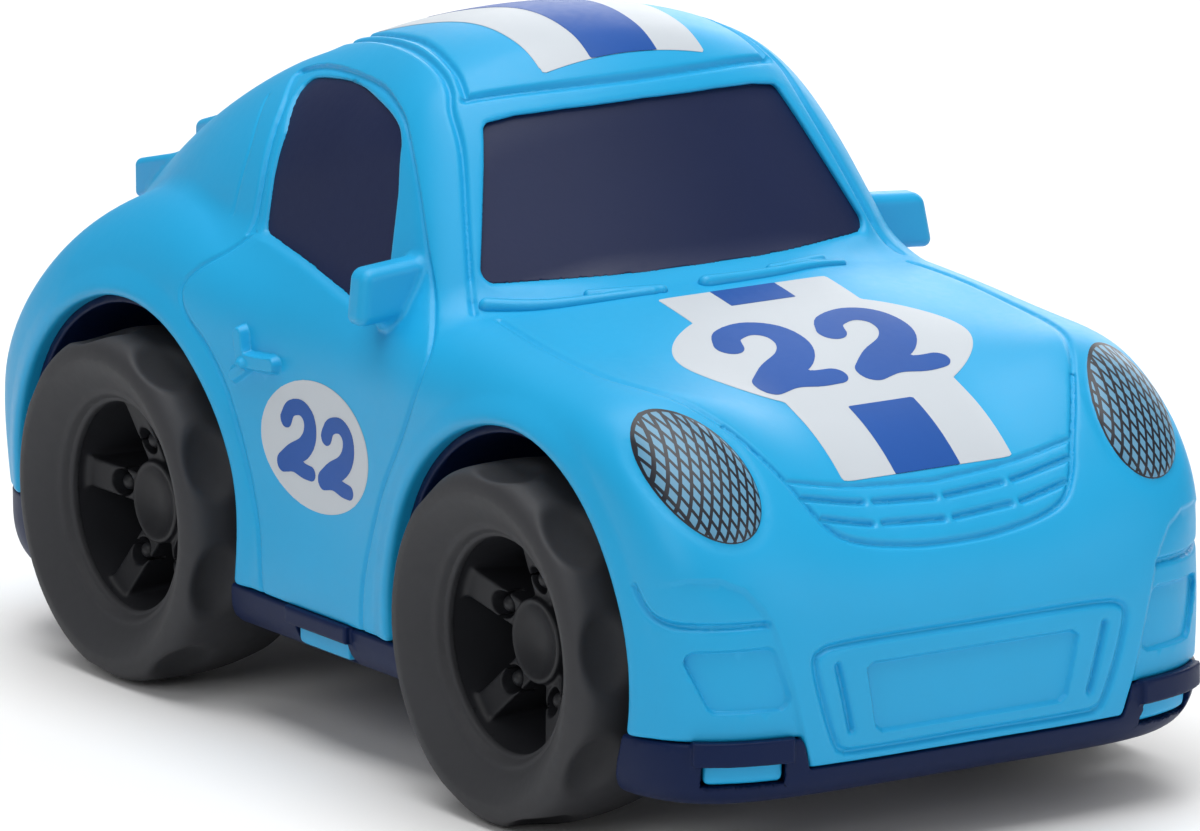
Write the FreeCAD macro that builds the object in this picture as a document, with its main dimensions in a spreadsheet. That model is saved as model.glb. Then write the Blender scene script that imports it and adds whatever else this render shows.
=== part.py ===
import FreeCAD, Part
import math
import os

import Sketcher
from FreeCAD import Placement, Rotation, Vector

# Pull back toy car, in millimetres. X points forward, Y to the car's left and Z up.
# The origin is on the ground, midway between the four wheels.

doc = FreeCAD.newDocument("PullBackCar")
sheet = doc.addObject("Spreadsheet::Sheet", "Sizes")

SIZES = {
    # whole car
    "wheelbase": 80.0,
    "axle_height": 20.0,
    "ground_clearance": 7.0,
    "seam_height": 16.0,
    "shell_wall": 1.6,
    "fit_gap": 0.15,
    # body shell
    "half_length": 76.0,
    "half_width": 36.6,
    "cabin_base_height": 46.0,
    "cabin_lean": 0.31,
    "arch_radius": 24.0,
    "arch_depth": 15.8,
    # chassis
    "floor_thickness": 2.0,
    "well_wall": 1.2,
    "loop_bar_low": 12.2,
    "loop_slot_low": 9.6,
    "tab_thickness": 1.4,
    # axles and wheels
    "axle_radius": 1.5,
    "bearing_gap": 0.08,
    "axle_half_length": 31.0,
    "wheel_inner_face": 22.0,
    "tyre_width": 17.9,
    "tyre_radius": 20.0,
    "tyre_edge_radius": 17.0,
    "tyre_bore_radius": 13.2,
    "rim_lip_radius": 12.16,
    "rim_lip_offset": 14.4,
    "hub_cap_radius": 4.7,
    "hub_cap_offset": 10.4,
    "spoke_offset": 7.5,
    "spoke_thickness": 2.0,
    "spoke_count": 5,
    "hub_opening_radius": 2.9,
    "bolt_circle_radius": 7.0,
    "bolt_radius": 1.0,
    "scallop_count": 9,
    # gear train
    "gear_module": 0.8,
    "small_teeth": 10,
    "compound_teeth": 24,
    "spring_teeth": 28,
    "gear_thickness": 3.0,
    "shaft_radius": 1.0,
    "arbor_radius": 2.5,
    # motor case
    "case_rear": -48.0,
    "case_front": 2.0,
    "case_bottom": 9.4,
    "case_top": 43.0,
    "case_half_width": 9.5,
    "case_wall": 1.2,
    "case_corner": 4.0,
    # screws
    "screw_radius": 1.0,
    "screw_head_radius": 1.9,
    "screw_head_height": 1.3,
}

for row, (alias, value) in enumerate(SIZES.items(), start=1):
    sheet.set(f"A{row}", alias)
    sheet.set(f"B{row}", str(value))
    sheet.setAlias(f"B{row}", alias)
doc.recompute()


def size(alias):
    return float(sheet.get(alias))


def cell(formula):
    """Turn a formula of bare aliases into one that reads the sheet."""
    words = formula.replace("(", " ( ").replace(")", " ) ").split()
    return " ".join(f"Sizes.{word}" if word in SIZES else word for word in words)


def mesh_distance(teeth_a, teeth_b):
    """Centre distance of two meshed gears, with a little play."""
    play = 0.1
    return size("gear_module") * (teeth_a + teeth_b) / 2 + play


AXLE_X = size("wheelbase") / 2
AXLE_Z = size("axle_height")
WALL = size("shell_wall")
GAP = size("fit_gap")
SEAM = size("seam_height")

SMALL_TEETH = int(size("small_teeth"))
COMPOUND_TEETH = int(size("compound_teeth"))
SPRING_TEETH = int(size("spring_teeth"))

# Angles, seen from the car's right side, from each gear's centre to the next one's.
COMPOUND_ANGLE = math.radians(20)
SPRING_ANGLE = math.radians(-5)
WINDING_ANGLE = math.radians(130)
WINDING_CLEAR = 17.4

COMPOUND_STEP = mesh_distance(SMALL_TEETH, COMPOUND_TEETH)
SPRING_STEP = mesh_distance(SMALL_TEETH, SPRING_TEETH)
REAR_AXLE = Vector(-AXLE_X, 0, AXLE_Z)
COMPOUND_AXIS = REAR_AXLE + COMPOUND_STEP * Vector(math.cos(COMPOUND_ANGLE), 0, math.sin(COMPOUND_ANGLE))
SPRING_AXIS = COMPOUND_AXIS + SPRING_STEP * Vector(math.cos(SPRING_ANGLE), 0, math.sin(SPRING_ANGLE))
WINDING_AXIS = SPRING_AXIS + WINDING_CLEAR * Vector(math.cos(WINDING_ANGLE), 0, math.sin(WINDING_ANGLE))

# Local Z turned to the car's left (+Y) or right (-Y).
TO_LEFT = Rotation(Vector(1, 0, 0), -90)
TO_RIGHT = Rotation(Vector(1, 0, 0), 90)


# ---------------------------------------------------------------- document helpers

def new_body(label):
    body = doc.addObject("PartDesign::Body", label)
    body.Label = label
    return body


def origin_feature(body, role):
    return next(item for item in body.Origin.OriginFeatures if item.Role == role)


def new_sketch(body, name, role):
    sketch = body.newObject("Sketcher::SketchObject", f"{body.Label}_{name}")
    sketch.AttachmentSupport = [(origin_feature(body, role), "")]
    sketch.MapMode = "FlatFace"
    return sketch


def draw_outline(sketch, corners):
    """Draw a closed outline whose corners are pairs of formulas on the sheet."""
    points = [Vector(float(sheet.evalExpression(cell(u))), float(sheet.evalExpression(cell(v))), 0)
              for u, v in corners]
    for start, end in zip(points, points[1:] + points[:1]):
        sketch.addGeometry(Part.LineSegment(start, end), False)
    count = len(points)
    for line in range(count):
        sketch.addConstraint(Sketcher.Constraint("Coincident", line, 2, (line + 1) % count, 1))
    for line, (u, v) in enumerate(corners):
        for kind, formula, value in (("DistanceX", u, points[line].x), ("DistanceY", v, points[line].y)):
            index = sketch.addConstraint(Sketcher.Constraint(kind, -1, 1, line, 1, value))
            sketch.setExpression(f"Constraints[{index}]", cell(formula))


def draw_circle(sketch, centre_x, radius):
    """Draw a circle on the sketch's X axis."""
    centre = Vector(float(sheet.evalExpression(cell(centre_x))), 0, 0)
    circle = Part.Circle(centre, Vector(0, 0, 1), float(sheet.evalExpression(cell(radius))))
    edge = sketch.addGeometry(circle, False)
    for constraint, formula in ((Sketcher.Constraint("DistanceX", -1, 1, edge, 3, centre.x), centre_x),
                                (Sketcher.Constraint("Radius", edge, circle.Radius), radius)):
        index = sketch.addConstraint(constraint)
        sketch.setExpression(f"Constraints[{index}]", cell(formula))
    sketch.addConstraint(Sketcher.Constraint("DistanceY", -1, 1, edge, 3, 0.0))


def turn(body, name, corners):
    """Revolve an outline of (radius, height) corners round the body's Z axis."""
    sketch = new_sketch(body, f"{name}_profile", "XZ_Plane")
    draw_outline(sketch, corners)
    feature = body.newObject("PartDesign::Revolution", f"{body.Label}_{name}")
    feature.Profile = sketch
    feature.ReferenceAxis = (sketch, ["V_Axis"])
    feature.Angle = 360.0
    return feature


def polar_pattern(body, feature, name, count):
    pattern = body.newObject("PartDesign::PolarPattern", f"{body.Label}_{name}")
    pattern.Originals = [feature]
    pattern.Axis = (origin_feature(body, "Z_Axis"), [""])
    pattern.Angle = 360.0
    pattern.setExpression("Occurrences", cell(count))
    body.Tip = pattern
    return pattern


def plain_piece(label, shape):
    piece = doc.addObject("Part::Feature", label)
    piece.Label = label
    piece.Shape = shape
    return piece


def box(low, high):
    low = Vector(*low)
    extent = Vector(*high) - low
    return Part.makeBox(extent.x, extent.y, extent.z, low)


def cylinder_along_y(x, z, radius, y_low, y_high):
    return Part.makeCylinder(radius, y_high - y_low, Vector(x, y_low, z), Vector(0, 1, 0))


def mirrored(shape):
    """The same shape on the car's other side."""
    return shape.mirror(Vector(0, 0, 0), Vector(0, 1, 0))


def prism(points, along):
    """Extrude a closed polygon."""
    return Part.Face(Part.makePolygon(points + points[:1])).extrude(along)


# ---------------------------------------------------------------- body forms

# Rows of the lower body from tail to nose: distance from the middle as a share of the
# half length, height of the deck, radius of the shoulder.
TUB_ROWS = [
    (-1.0, 33.0, 4.0),
    (-0.97, 41.0, 6.0),
    (-0.91, 48.0, 8.0),
    (-0.80, 54.0, 10.0),
    (-0.65, 57.5, 11.0),
    (-0.48, 56.0, 10.0),
    (-0.3, 51.8, 8.0),
    (-0.05, 50.2, 7.0),
    (0.2, 51.0, 7.5),
    (0.4, 52.0, 8.0),
    (0.63, 50.0, 8.0),
    (0.80, 46.0, 8.0),
    (0.90, 41.0, 7.0),
    (0.965, 35.5, 5.0),
    (1.0, 30.0, 3.5),
]

# Rows of the cabin from tail to nose: place along the car, height of the roof, half width
# at the cabin's base, radius of the roof's edge.
CABIN_ROWS = [
    (-67.0, 50.0, 17.0, 1.5),
    (-58.0, 58.5, 22.0, 5.0),
    (-46.0, 65.5, 27.5, 8.0),
    (-34.0, 73.0, 31.0, 9.0),
    (-22.0, 78.6, 32.2, 9.0),
    (-9.0, 80.5, 32.4, 9.0),
    (2.0, 77.8, 32.2, 8.5),
    (9.0, 71.5, 31.6, 7.0),
    (15.5, 61.5, 30.5, 4.0),
    (22.5, 51.0, 29.0, 1.5),
]

NOSE_START = 52.0
NOSE_POWER = 3.0
TAIL_START = -50.0
TAIL_POWER = 5.0


def plan_half_width(x, inset):
    """Half width of the lower body: straight sides, with superelliptic nose and tail."""
    half_width = size("half_width") - inset
    reach = size("half_length") + 1.0 - inset
    if x > NOSE_START:
        share = (x - NOSE_START) / (reach - NOSE_START)
        return half_width * (1 - share ** NOSE_POWER) ** (1 / NOSE_POWER)
    if x < TAIL_START:
        share = (TAIL_START - x) / (reach + TAIL_START)
        return half_width * (1 - share ** TAIL_POWER) ** (1 / TAIL_POWER)
    return half_width


def arch_section(x, bottom, top, base_half, top_half, corner):
    """A closed section across the car: flat base, leaning sides, round shoulders, flat top."""
    lean = math.atan2(base_half - top_half, top - bottom)
    tangent = corner * math.tan((math.pi / 2 - lean) / 2)
    low_y = top_half + tangent * math.sin(lean)
    low_z = top - tangent * math.cos(lean)
    high_y = top_half - tangent
    middle = corner * (1 / math.cos((math.pi / 2 - lean) / 2) - 1)
    towards = Vector(0, high_y + low_y - 2 * top_half, top + low_z - 2 * top).normalize()
    crown = Vector(x, top_half, top) + middle * towards

    def flip(point):
        return Vector(point.x, -point.y, point.z)

    base = Vector(x, base_half, bottom)
    low = Vector(x, low_y, low_z)
    high = Vector(x, high_y, top)
    edges = [
        Part.LineSegment(flip(base), base).toShape(),
        Part.LineSegment(base, low).toShape(),
        Part.Arc(low, crown, high).toShape(),
        Part.LineSegment(high, flip(high)).toShape(),
        Part.Arc(flip(high), flip(crown), flip(low)).toShape(),
        Part.LineSegment(flip(low), flip(base)).toShape(),
    ]
    return Part.Wire(edges)


def tub_form(inset, bottom):
    """The lower body as a solid, shrunk by inset, standing on the height bottom."""
    sections = []
    for share, top, corner in TUB_ROWS:
        x = share * (size("half_length") - inset)
        width = plan_half_width(x, inset)
        sections.append(arch_section(x, bottom, top - inset, width, width, max(corner - inset, 1.0)))
    return Part.makeLoft(sections, True, False)


def cabin_form(inset):
    """The cabin as a solid, shrunk by inset."""
    bottom = size("cabin_base_height")
    sections = []
    for x, top, base_half, corner in CABIN_ROWS:
        height = top - inset - bottom
        base = base_half - inset
        middle = -12.0
        steep = 1.9 if x > 5 else 0.55
        shift = inset * steep * abs(x - middle) / 80
        at = x - math.copysign(shift, x - middle)
        radius = min(max(corner - inset, 0.8), height * 0.6)
        sections.append(arch_section(at, bottom, top - inset, base, base - height * size("cabin_lean"), radius))
    return Part.makeLoft(sections, True, False)


def windscreen_cutter(grow):
    """Prism through the windscreen opening, along X."""
    low_z, high_z = 54.4 - grow, 70.7 + grow
    low_half, high_half = 25.4 + grow, 20.2 + grow
    near = 2.0
    corners = [Vector(near, -low_half, low_z), Vector(near, low_half, low_z),
               Vector(near, high_half, high_z), Vector(near, -high_half, high_z)]
    return prism(corners, Vector(30, 0, 0))


def rear_window_cutter(grow):
    """Prism through the rear window opening, along Z."""
    front, back = -27.0 + grow, -46.0 - grow
    front_half, back_half = 17.0 + grow, 15.0 + grow
    under = 55.0
    corners = [Vector(front, -front_half, under), Vector(front, front_half, under),
               Vector(back, back_half, under), Vector(back, -back_half, under)]
    return prism(corners, Vector(0, 0, 30))


def side_window_cutter(grow):
    """Prism through one side window opening, along Y, on the left side."""
    outline = [(-20.0, 54.8), (-21.4, 62.0), (-24.4, 68.0), (-23.4, 70.0), (-15.0, 71.2), (-8.0, 71.1),
               (-2.0, 70.2), (1.6, 68.4), (4.2, 62.4), (5.6, 54.0), (5.0, 50.6), (-0.3, 51.2)]
    centre_x = sum(x for x, z in outline) / len(outline)
    centre_z = sum(z for x, z in outline) / len(outline)
    half_span = 11.5
    scale = 1 + grow / half_span
    near = 14.0
    corners = [Vector(centre_x + (x - centre_x) * scale, near, centre_z + (z - centre_z) * scale)
               for x, z in outline]
    return prism(corners, Vector(0, 24, 0))


def window_cutters(grow):
    side = side_window_cutter(grow)
    return [windscreen_cutter(grow), rear_window_cutter(grow), side, mirrored(side)]


# ---------------------------------------------------------------- snap tabs and loops

# Each snap: middle of the tab on the car's outline, the direction it faces, and its width.
FRONT_SNAP = (Vector(72.1, -27.2, 0), Vector(-4.7, -10.3, 0).normalize(), 8.0)
REAR_SNAP = (Vector(-75.9, -20.0, 0), Vector(0, -1, 0), 8.0)
SIDE_SNAP = (Vector(1.5, -36.6, 0), Vector(1, 0, 0), 9.0)


def snap_block(snap, out_low, out_high, z_low, z_high, extra):
    """A block beside the outline, from out_low to out_high measured outwards."""
    middle, along, width = snap
    outwards = Vector(along.y, -along.x, 0)
    if outwards.dot(middle) < 0:
        outwards = -outwards
    half = along * (width / 2 + extra)
    points = [middle - half + outwards * out_low, middle + half + outwards * out_low,
              middle + half + outwards * out_high, middle - half + outwards * out_high]
    lifted = [Vector(point.x, point.y, z_low) for point in points]
    return prism(lifted, Vector(0, 0, z_high - z_low))


def both_sides(shapes):
    return shapes + [mirrored(shape) for shape in shapes]


SNAPS = [FRONT_SNAP, SIDE_SNAP, REAR_SNAP]


def snap_tabs():
    """Tabs of the body shell that reach down inside the chassis wall, each with a lug."""
    thick = size("tab_thickness")
    inside = -WALL - 2 * GAP - thick
    tabs = []
    for snap in SNAPS:
        tabs.append(snap_block(snap, inside, inside + thick, size("loop_slot_low") + GAP, SEAM + 6, -0.4))
        tabs.append(snap_block(snap, inside + thick, -WALL / 2, SEAM + 0.5, SEAM + 6, -0.4))
        tabs.append(snap_block(snap, inside + thick, -0.4, size("loop_slot_low") + GAP,
                               size("loop_bar_low") - GAP, -0.4))
    return both_sides(tabs)


def snap_slots():
    """Windows in the chassis wall that the lugs click into."""
    slots = [snap_block(snap, -WALL - 1.0, 2.0, size("loop_slot_low"), size("loop_bar_low"), 0.0)
             for snap in SNAPS]
    return both_sides(slots)


# ---------------------------------------------------------------- moulded pieces

def tongue(inset):
    """The middle of the front bumper, which reaches lower than the rest of the shell."""
    low = 11.5
    reach = size("half_length")
    return box((reach - 8, -20 + inset, low), (reach - inset, 20 - inset, SEAM + 1))


def build_body_shell():
    outer = tub_form(0, SEAM).fuse([cabin_form(0), tongue(0)])
    inner = tub_form(WALL, SEAM - 6).fuse(cabin_form(WALL))
    shell = outer.cut(inner)
    depth = size("arch_depth")
    edge = size("half_width") + 2
    for x in (AXLE_X, -AXLE_X):
        for low, high in ((-edge, depth - edge), (edge - depth, edge)):
            shell = shell.cut(cylinder_along_y(x, AXLE_Z, size("arch_radius"), low, high))
    shell = shell.cut(window_cutters(0))
    mirror_arm = box((9.4, 29.2, 50.2), (12.4, 34.0, 53.0))
    mirror_head = box((9.0, 30.0, 50.4), (13.0, 38.0, 57.4))
    mirror_head = mirror_head.makeFillet(1.4, mirror_head.Edges)
    mirror = mirror_arm.fuse(mirror_head).cut(inner)
    wing = box((-72.5, -17.0, 50.5), (-62.0, 17.0, 53.5))
    wing = wing.makeFillet(1.2, wing.Edges).cut(inner)
    shell = shell.fuse([mirror, mirrored(mirror), wing] + snap_tabs()).removeSplitter()
    return plain_piece("body_shell", shell)


def build_window_insert():
    """One dark moulding inside the cabin, with a raised pane in each opening."""
    liner_wall = 1.2
    pane_depth = 0.6
    hem = 51.5
    behind = cabin_form(WALL + GAP)
    liner = behind.cut(cabin_form(WALL + GAP + liner_wall))
    panes = cabin_form(pane_depth).cut(behind)
    panes = [panes.common(cutter) for cutter in window_cutters(-GAP)]
    insert = liner.fuse(panes)
    insert = insert.common(box((-60, -40, hem), (40, 40, 90)))
    return plain_piece("window_insert", insert.removeSplitter())


def build_chassis():
    """Floor pan with sills, wheel wells, axle bearings, motor posts and snap windows."""
    low = size("ground_clearance")
    top = SEAM - GAP
    floor_top = low + size("floor_thickness")
    pan = tub_form(0, low - 20).common(box((-90, -50, low), (90, 50, top)))
    bottom_edges = [edge for edge in pan.Edges if edge.BoundBox.ZMax < low + 0.01]
    pan = pan.makeChamfer(1.5, bottom_edges)
    hollow = tub_form(WALL, low - 20).common(box((-90, -50, floor_top), (90, 50, top + 1)))
    pan = pan.cut([hollow] + snap_slots())
    reach = size("half_length")
    pan = pan.cut(box((reach - 9, -20 - GAP, 11.5 - GAP), (reach + 1, 20 + GAP, SEAM)))

    well_radius = size("arch_radius") + size("well_wall")
    face = size("wheel_inner_face") - 0.8
    back = face - size("well_wall")
    room = tub_form(WALL + 2 * GAP, low)
    wells = []
    hollows = []
    bearings = []
    for x in (AXLE_X, -AXLE_X):
        well = cylinder_along_y(x, AXLE_Z, well_radius, back, 40).common(room)
        bearing = cylinder_along_y(x, AXLE_Z, size("axle_radius") + 2.0, back - 3.0, back + 0.5)
        cavity = cylinder_along_y(x, AXLE_Z, size("arch_radius"), face, 45)
        wells += both_sides([well, bearing])
        hollows += both_sides([cavity])
        bearings.append(cylinder_along_y(x, AXLE_Z, size("axle_radius") + size("bearing_gap"), -45, 45))
    posts = [Part.makeCylinder(2.6, LUG_BOTTOM - GAP - floor_top + 0.5, Vector(x, LUG_Y, floor_top - 0.5))
             for x in LUG_X]
    holes = [Part.makeCylinder(size("screw_radius"), 6.0, Vector(x, LUG_Y, LUG_BOTTOM - 5.0)) for x in LUG_X]
    chassis = pan.fuse(wells + posts).cut(hollows + bearings + holes)
    for snap in SNAPS:
        room_for_tab = snap_block(snap, -WALL - 3 * GAP - size("tab_thickness"), -WALL, floor_top,
                                  SEAM + 6, 0.0)
        chassis = chassis.cut([room_for_tab, mirrored(room_for_tab)])
    return plain_piece("chassis", chassis.removeSplitter())


# ---------------------------------------------------------------- wheels and axles

def build_tyre(label, placement):
    body = new_body(label)
    turn(body, "ring", [
        ("tyre_bore_radius", "0"),
        ("tyre_radius - 2.4", "0"),
        ("tyre_radius - 1.0", "1.0"),
        ("tyre_radius - 0.4", "4.0"),
        ("tyre_radius", "tyre_width - 8.0"),
        ("tyre_radius", "tyre_width - 5.0"),
        ("tyre_radius - 0.5", "tyre_width - 2.4"),
        ("tyre_edge_radius + 1.0", "tyre_width - 0.4"),
        ("tyre_edge_radius", "tyre_width"),
        ("tyre_edge_radius - 0.8", "tyre_width - 0.2"),
        ("tyre_bore_radius", "rim_lip_offset + 0.7"),
    ])
    scallop = body.newObject("PartDesign::SubtractiveEllipsoid", f"{label}_scallop")
    scallop.Radius1 = 2.6
    scallop.Radius2 = 2.6
    scallop.Radius3 = 4.6
    scallop.Angle1 = -90.0
    scallop.Angle2 = 90.0
    scallop.Placement = Placement(Vector(size("tyre_radius") + 0.6, 0, size("tyre_width") - 0.6), Rotation())
    polar_pattern(body, scallop, "scallops", "scallop_count")
    body.Placement = placement
    return body


def build_hub(label, placement):
    body = new_body(label)
    turn(body, "rim", [
        ("0", "axle_half_length - wheel_inner_face"),
        ("axle_radius", "axle_half_length - wheel_inner_face"),
        ("axle_radius", "0.8"),
        ("axle_radius + 2.4", "0.8"),
        ("axle_radius + 2.4", "spoke_offset - spoke_thickness"),
        ("rim_lip_radius - 0.2", "spoke_offset - spoke_thickness"),
        ("rim_lip_radius - 0.2", "0.6"),
        ("tyre_bore_radius", "0.6"),
        ("tyre_bore_radius", "rim_lip_offset + 0.7"),
        ("rim_lip_radius", "rim_lip_offset"),
        ("rim_lip_radius - 0.6", "spoke_offset"),
        ("hub_cap_radius", "spoke_offset"),
        ("hub_cap_radius", "hub_cap_offset"),
        ("hub_cap_radius - 0.7", "hub_cap_offset"),
        ("hub_cap_radius - 1.0", "hub_cap_offset - 0.4"),
        ("0", "hub_cap_offset - 0.4"),
    ])
    opening_sketch = new_sketch(body, "opening_outline", "XY_Plane")
    draw_circle(opening_sketch, "rim_lip_radius - 4.2", "hub_opening_radius")
    opening = body.newObject("PartDesign::Pocket", f"{label}_opening")
    opening.Profile = opening_sketch
    opening.Type = "ThroughAll"
    opening.Midplane = True
    polar_pattern(body, opening, "openings", "spoke_count")
    bolt = body.newObject("PartDesign::AdditiveSphere", f"{label}_bolt")
    bolt.setExpression("Radius", cell("bolt_radius"))
    on_spoke = Rotation(Vector(0, 0, 1), 180 / size("spoke_count"))
    bolt.Placement = Placement(on_spoke.multVec(Vector(size("bolt_circle_radius"), 0, size("spoke_offset"))),
                               on_spoke)
    polar_pattern(body, bolt, "bolts", "spoke_count")
    body.Placement = placement
    return body


def build_axle(label, x):
    axle = doc.addObject("Part::Cylinder", label)
    axle.Label = label
    axle.setExpression("Radius", cell("axle_radius"))
    axle.setExpression("Height", cell("axle_half_length * 2"))
    axle.Placement = Placement(Vector(x, -size("axle_half_length"), AXLE_Z), TO_LEFT)
    return axle


# ---------------------------------------------------------------- pull back motor

# Layers of the motor across the car, by their right and left faces.
COMPOUND_WHEEL_LAYER = (-7.0, -4.0)
AXLE_PINION_LAYER = (-7.6, -3.5)
SPRING_GEAR_LAYER = (-3.4, -0.6)
COMPOUND_PINION_LAYER = (-4.0, -0.4)
SPRING_LAYER = (0.6, 7.6)

LUG_X = (size("case_rear") - 3.0, size("case_front") + 3.0)
LUG_Y = -5.0
LUG_BOTTOM = 14.0
LUG_THICKNESS = 2.5


def tooth_corners(teeth):
    """One tooth pointing along +X: a root, a pitch point and a tip on each flank."""
    module = size("gear_module")
    pitch = module * teeth / 2
    tip = pitch + 0.75 * module
    root = pitch - 0.95 * module
    sunk = root - 0.25
    play = 0.06
    half_pitch = module * math.pi / 4 - play
    half_tip = half_pitch - 0.75 * module * 0.46
    half_root = half_pitch + 0.95 * module * (0.30 if teeth > SMALL_TEETH else 0.12)
    upper = [(sunk, half_root), (root, half_root), (pitch, half_pitch), (tip, half_tip)]
    return upper + [(x, -y) for x, y in reversed(upper)]


def add_gear(body, teeth_alias, z_low, z_high, phase, bore_radius):
    """A spur gear on the body's Z axis: a root disc, one tooth, and a ring of its copies."""
    teeth = int(size(teeth_alias))
    name = f"{body.Label}_{teeth_alias}"
    root = size("gear_module") * (teeth / 2 - 0.95)
    turn(body, f"{teeth_alias}_disc", [
        (str(bore_radius), str(z_low)), (str(root), str(z_low)),
        (str(root), str(z_high)), (str(bore_radius), str(z_high))])
    sketch = new_sketch(body, f"{teeth_alias}_tooth_outline", "XY_Plane")
    sketch.AttachmentOffset = Placement(Vector(0, 0, z_low), Rotation(Vector(0, 0, 1), phase))
    corners = [Vector(x, y, 0) for x, y in tooth_corners(teeth)]
    for start, end in zip(corners, corners[1:] + corners[:1]):
        sketch.addGeometry(Part.LineSegment(start, end), False)
    tooth = body.newObject("PartDesign::Pad", f"{name}_tooth")
    tooth.Profile = sketch
    tooth.Length = z_high - z_low
    polar_pattern(body, tooth, f"{teeth_alias}_teeth", teeth_alias)


def facing_phase(teeth, direction):
    """Turn, in degrees, that points one tooth's middle along the direction."""
    return math.degrees(direction) % (360 / teeth)


def facing_gap_phase(teeth, direction):
    """Turn, in degrees, that points the middle of a gap along the direction."""
    return (math.degrees(direction) + 180 / teeth) % (360 / teeth)


def build_gears():
    """Gears turn about -Y, so their own X and Y axes lie along the car's X and Z."""
    def at(axis):
        return Placement(Vector(axis.x, 0, axis.z), TO_RIGHT)

    shaft = size("shaft_radius")
    arbor = size("arbor_radius")

    axle_pinion = new_body("axle_pinion")
    add_gear(axle_pinion, "small_teeth", -AXLE_PINION_LAYER[1], -AXLE_PINION_LAYER[0],
             facing_phase(SMALL_TEETH, COMPOUND_ANGLE), size("axle_radius"))
    axle_pinion.Placement = at(REAR_AXLE)

    compound = new_body("compound_gear")
    add_gear(compound, "compound_teeth", -COMPOUND_WHEEL_LAYER[1], -COMPOUND_WHEEL_LAYER[0],
             facing_gap_phase(COMPOUND_TEETH, COMPOUND_ANGLE + math.pi), shaft)
    add_gear(compound, "small_teeth", -COMPOUND_PINION_LAYER[1], -COMPOUND_PINION_LAYER[0],
             facing_phase(SMALL_TEETH, SPRING_ANGLE), shaft)
    compound.Placement = at(COMPOUND_AXIS)

    spring_gear = new_body("spring_gear")
    add_gear(spring_gear, "spring_teeth", -SPRING_GEAR_LAYER[1], -SPRING_GEAR_LAYER[0],
             facing_gap_phase(SPRING_TEETH, SPRING_ANGLE + math.pi), arbor)
    spring_gear.Placement = at(SPRING_AXIS)

    winding = new_body("winding_pinion")
    add_gear(winding, "small_teeth", -SPRING_GEAR_LAYER[1], -SPRING_GEAR_LAYER[0], 0, shaft)
    winding.Placement = at(WINDING_AXIS)


def build_shaft(label, axis, radius_alias, y_low, y_high):
    shaft = doc.addObject("Part::Cylinder", label)
    shaft.Label = label
    shaft.setExpression("Radius", cell(radius_alias))
    shaft.Height = y_high - y_low
    shaft.Placement = Placement(Vector(axis.x, y_low, axis.z), TO_LEFT)
    return shaft


def build_spring_arbor():
    """Stepped arbor: a thick middle that the mainspring winds onto, thin pivots at the ends."""
    body = new_body("spring_arbor")
    pivot_end = str(size("case_half_width") - 0.3)
    shoulder = str(size("case_half_width") - size("case_wall") - 0.4)
    turn(body, "steps", [
        ("0", "-" + pivot_end), ("shaft_radius", "-" + pivot_end), ("shaft_radius", "-" + shoulder),
        ("arbor_radius", "-" + shoulder), ("arbor_radius", shoulder), ("shaft_radius", shoulder),
        ("shaft_radius", pivot_end), ("0", pivot_end)])
    body.Placement = Placement(SPRING_AXIS, TO_RIGHT)
    return body


def build_mainspring():
    """Flat steel strip wound in a spiral between the arbor and the drum."""
    strip = 0.35
    inner, outer = 3.1, 10.4
    turns = 6
    steps_per_turn = 24
    steps = turns * steps_per_turn

    def spiral(offset):
        points = []
        for step in range(steps + 1):
            angle = 2 * math.pi * step / steps_per_turn
            radius = inner + (outer - inner) * step / steps + offset
            points.append(Vector(SPRING_AXIS.x + radius * math.cos(angle), SPRING_LAYER[0],
                                 SPRING_AXIS.z + radius * math.sin(angle)))
        curve = Part.BSplineCurve()
        curve.interpolate(points)
        return curve

    inside, outside = spiral(0.0), spiral(strip)
    edges = [inside.toShape(),
             Part.LineSegment(inside.EndPoint, outside.EndPoint).toShape(),
             outside.toShape(),
             Part.LineSegment(outside.StartPoint, inside.StartPoint).toShape()]
    wire = Part.Wire(Part.__sortEdges__(edges))
    return plain_piece("mainspring", Part.Face(wire).extrude(Vector(0, SPRING_LAYER[1] - SPRING_LAYER[0], 0)))


CASE_SCREWS = [(size("case_rear") + 4.0, size("case_top") - 4.5),
               (size("case_front") - 4.0, size("case_top") - 4.0),
               (size("case_rear") + 4.0, size("case_bottom") + 3.2)]


def case_blank(y_low, y_high, inset):
    low = (size("case_rear") + inset, y_low, size("case_bottom") + inset)
    high = (size("case_front") - inset, y_high, size("case_top") - inset)
    blank = box(low, high)
    upright = [edge for edge in blank.Edges if edge.BoundBox.YLength > 1]
    return blank.makeFillet(size("case_corner") - inset, upright)


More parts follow.
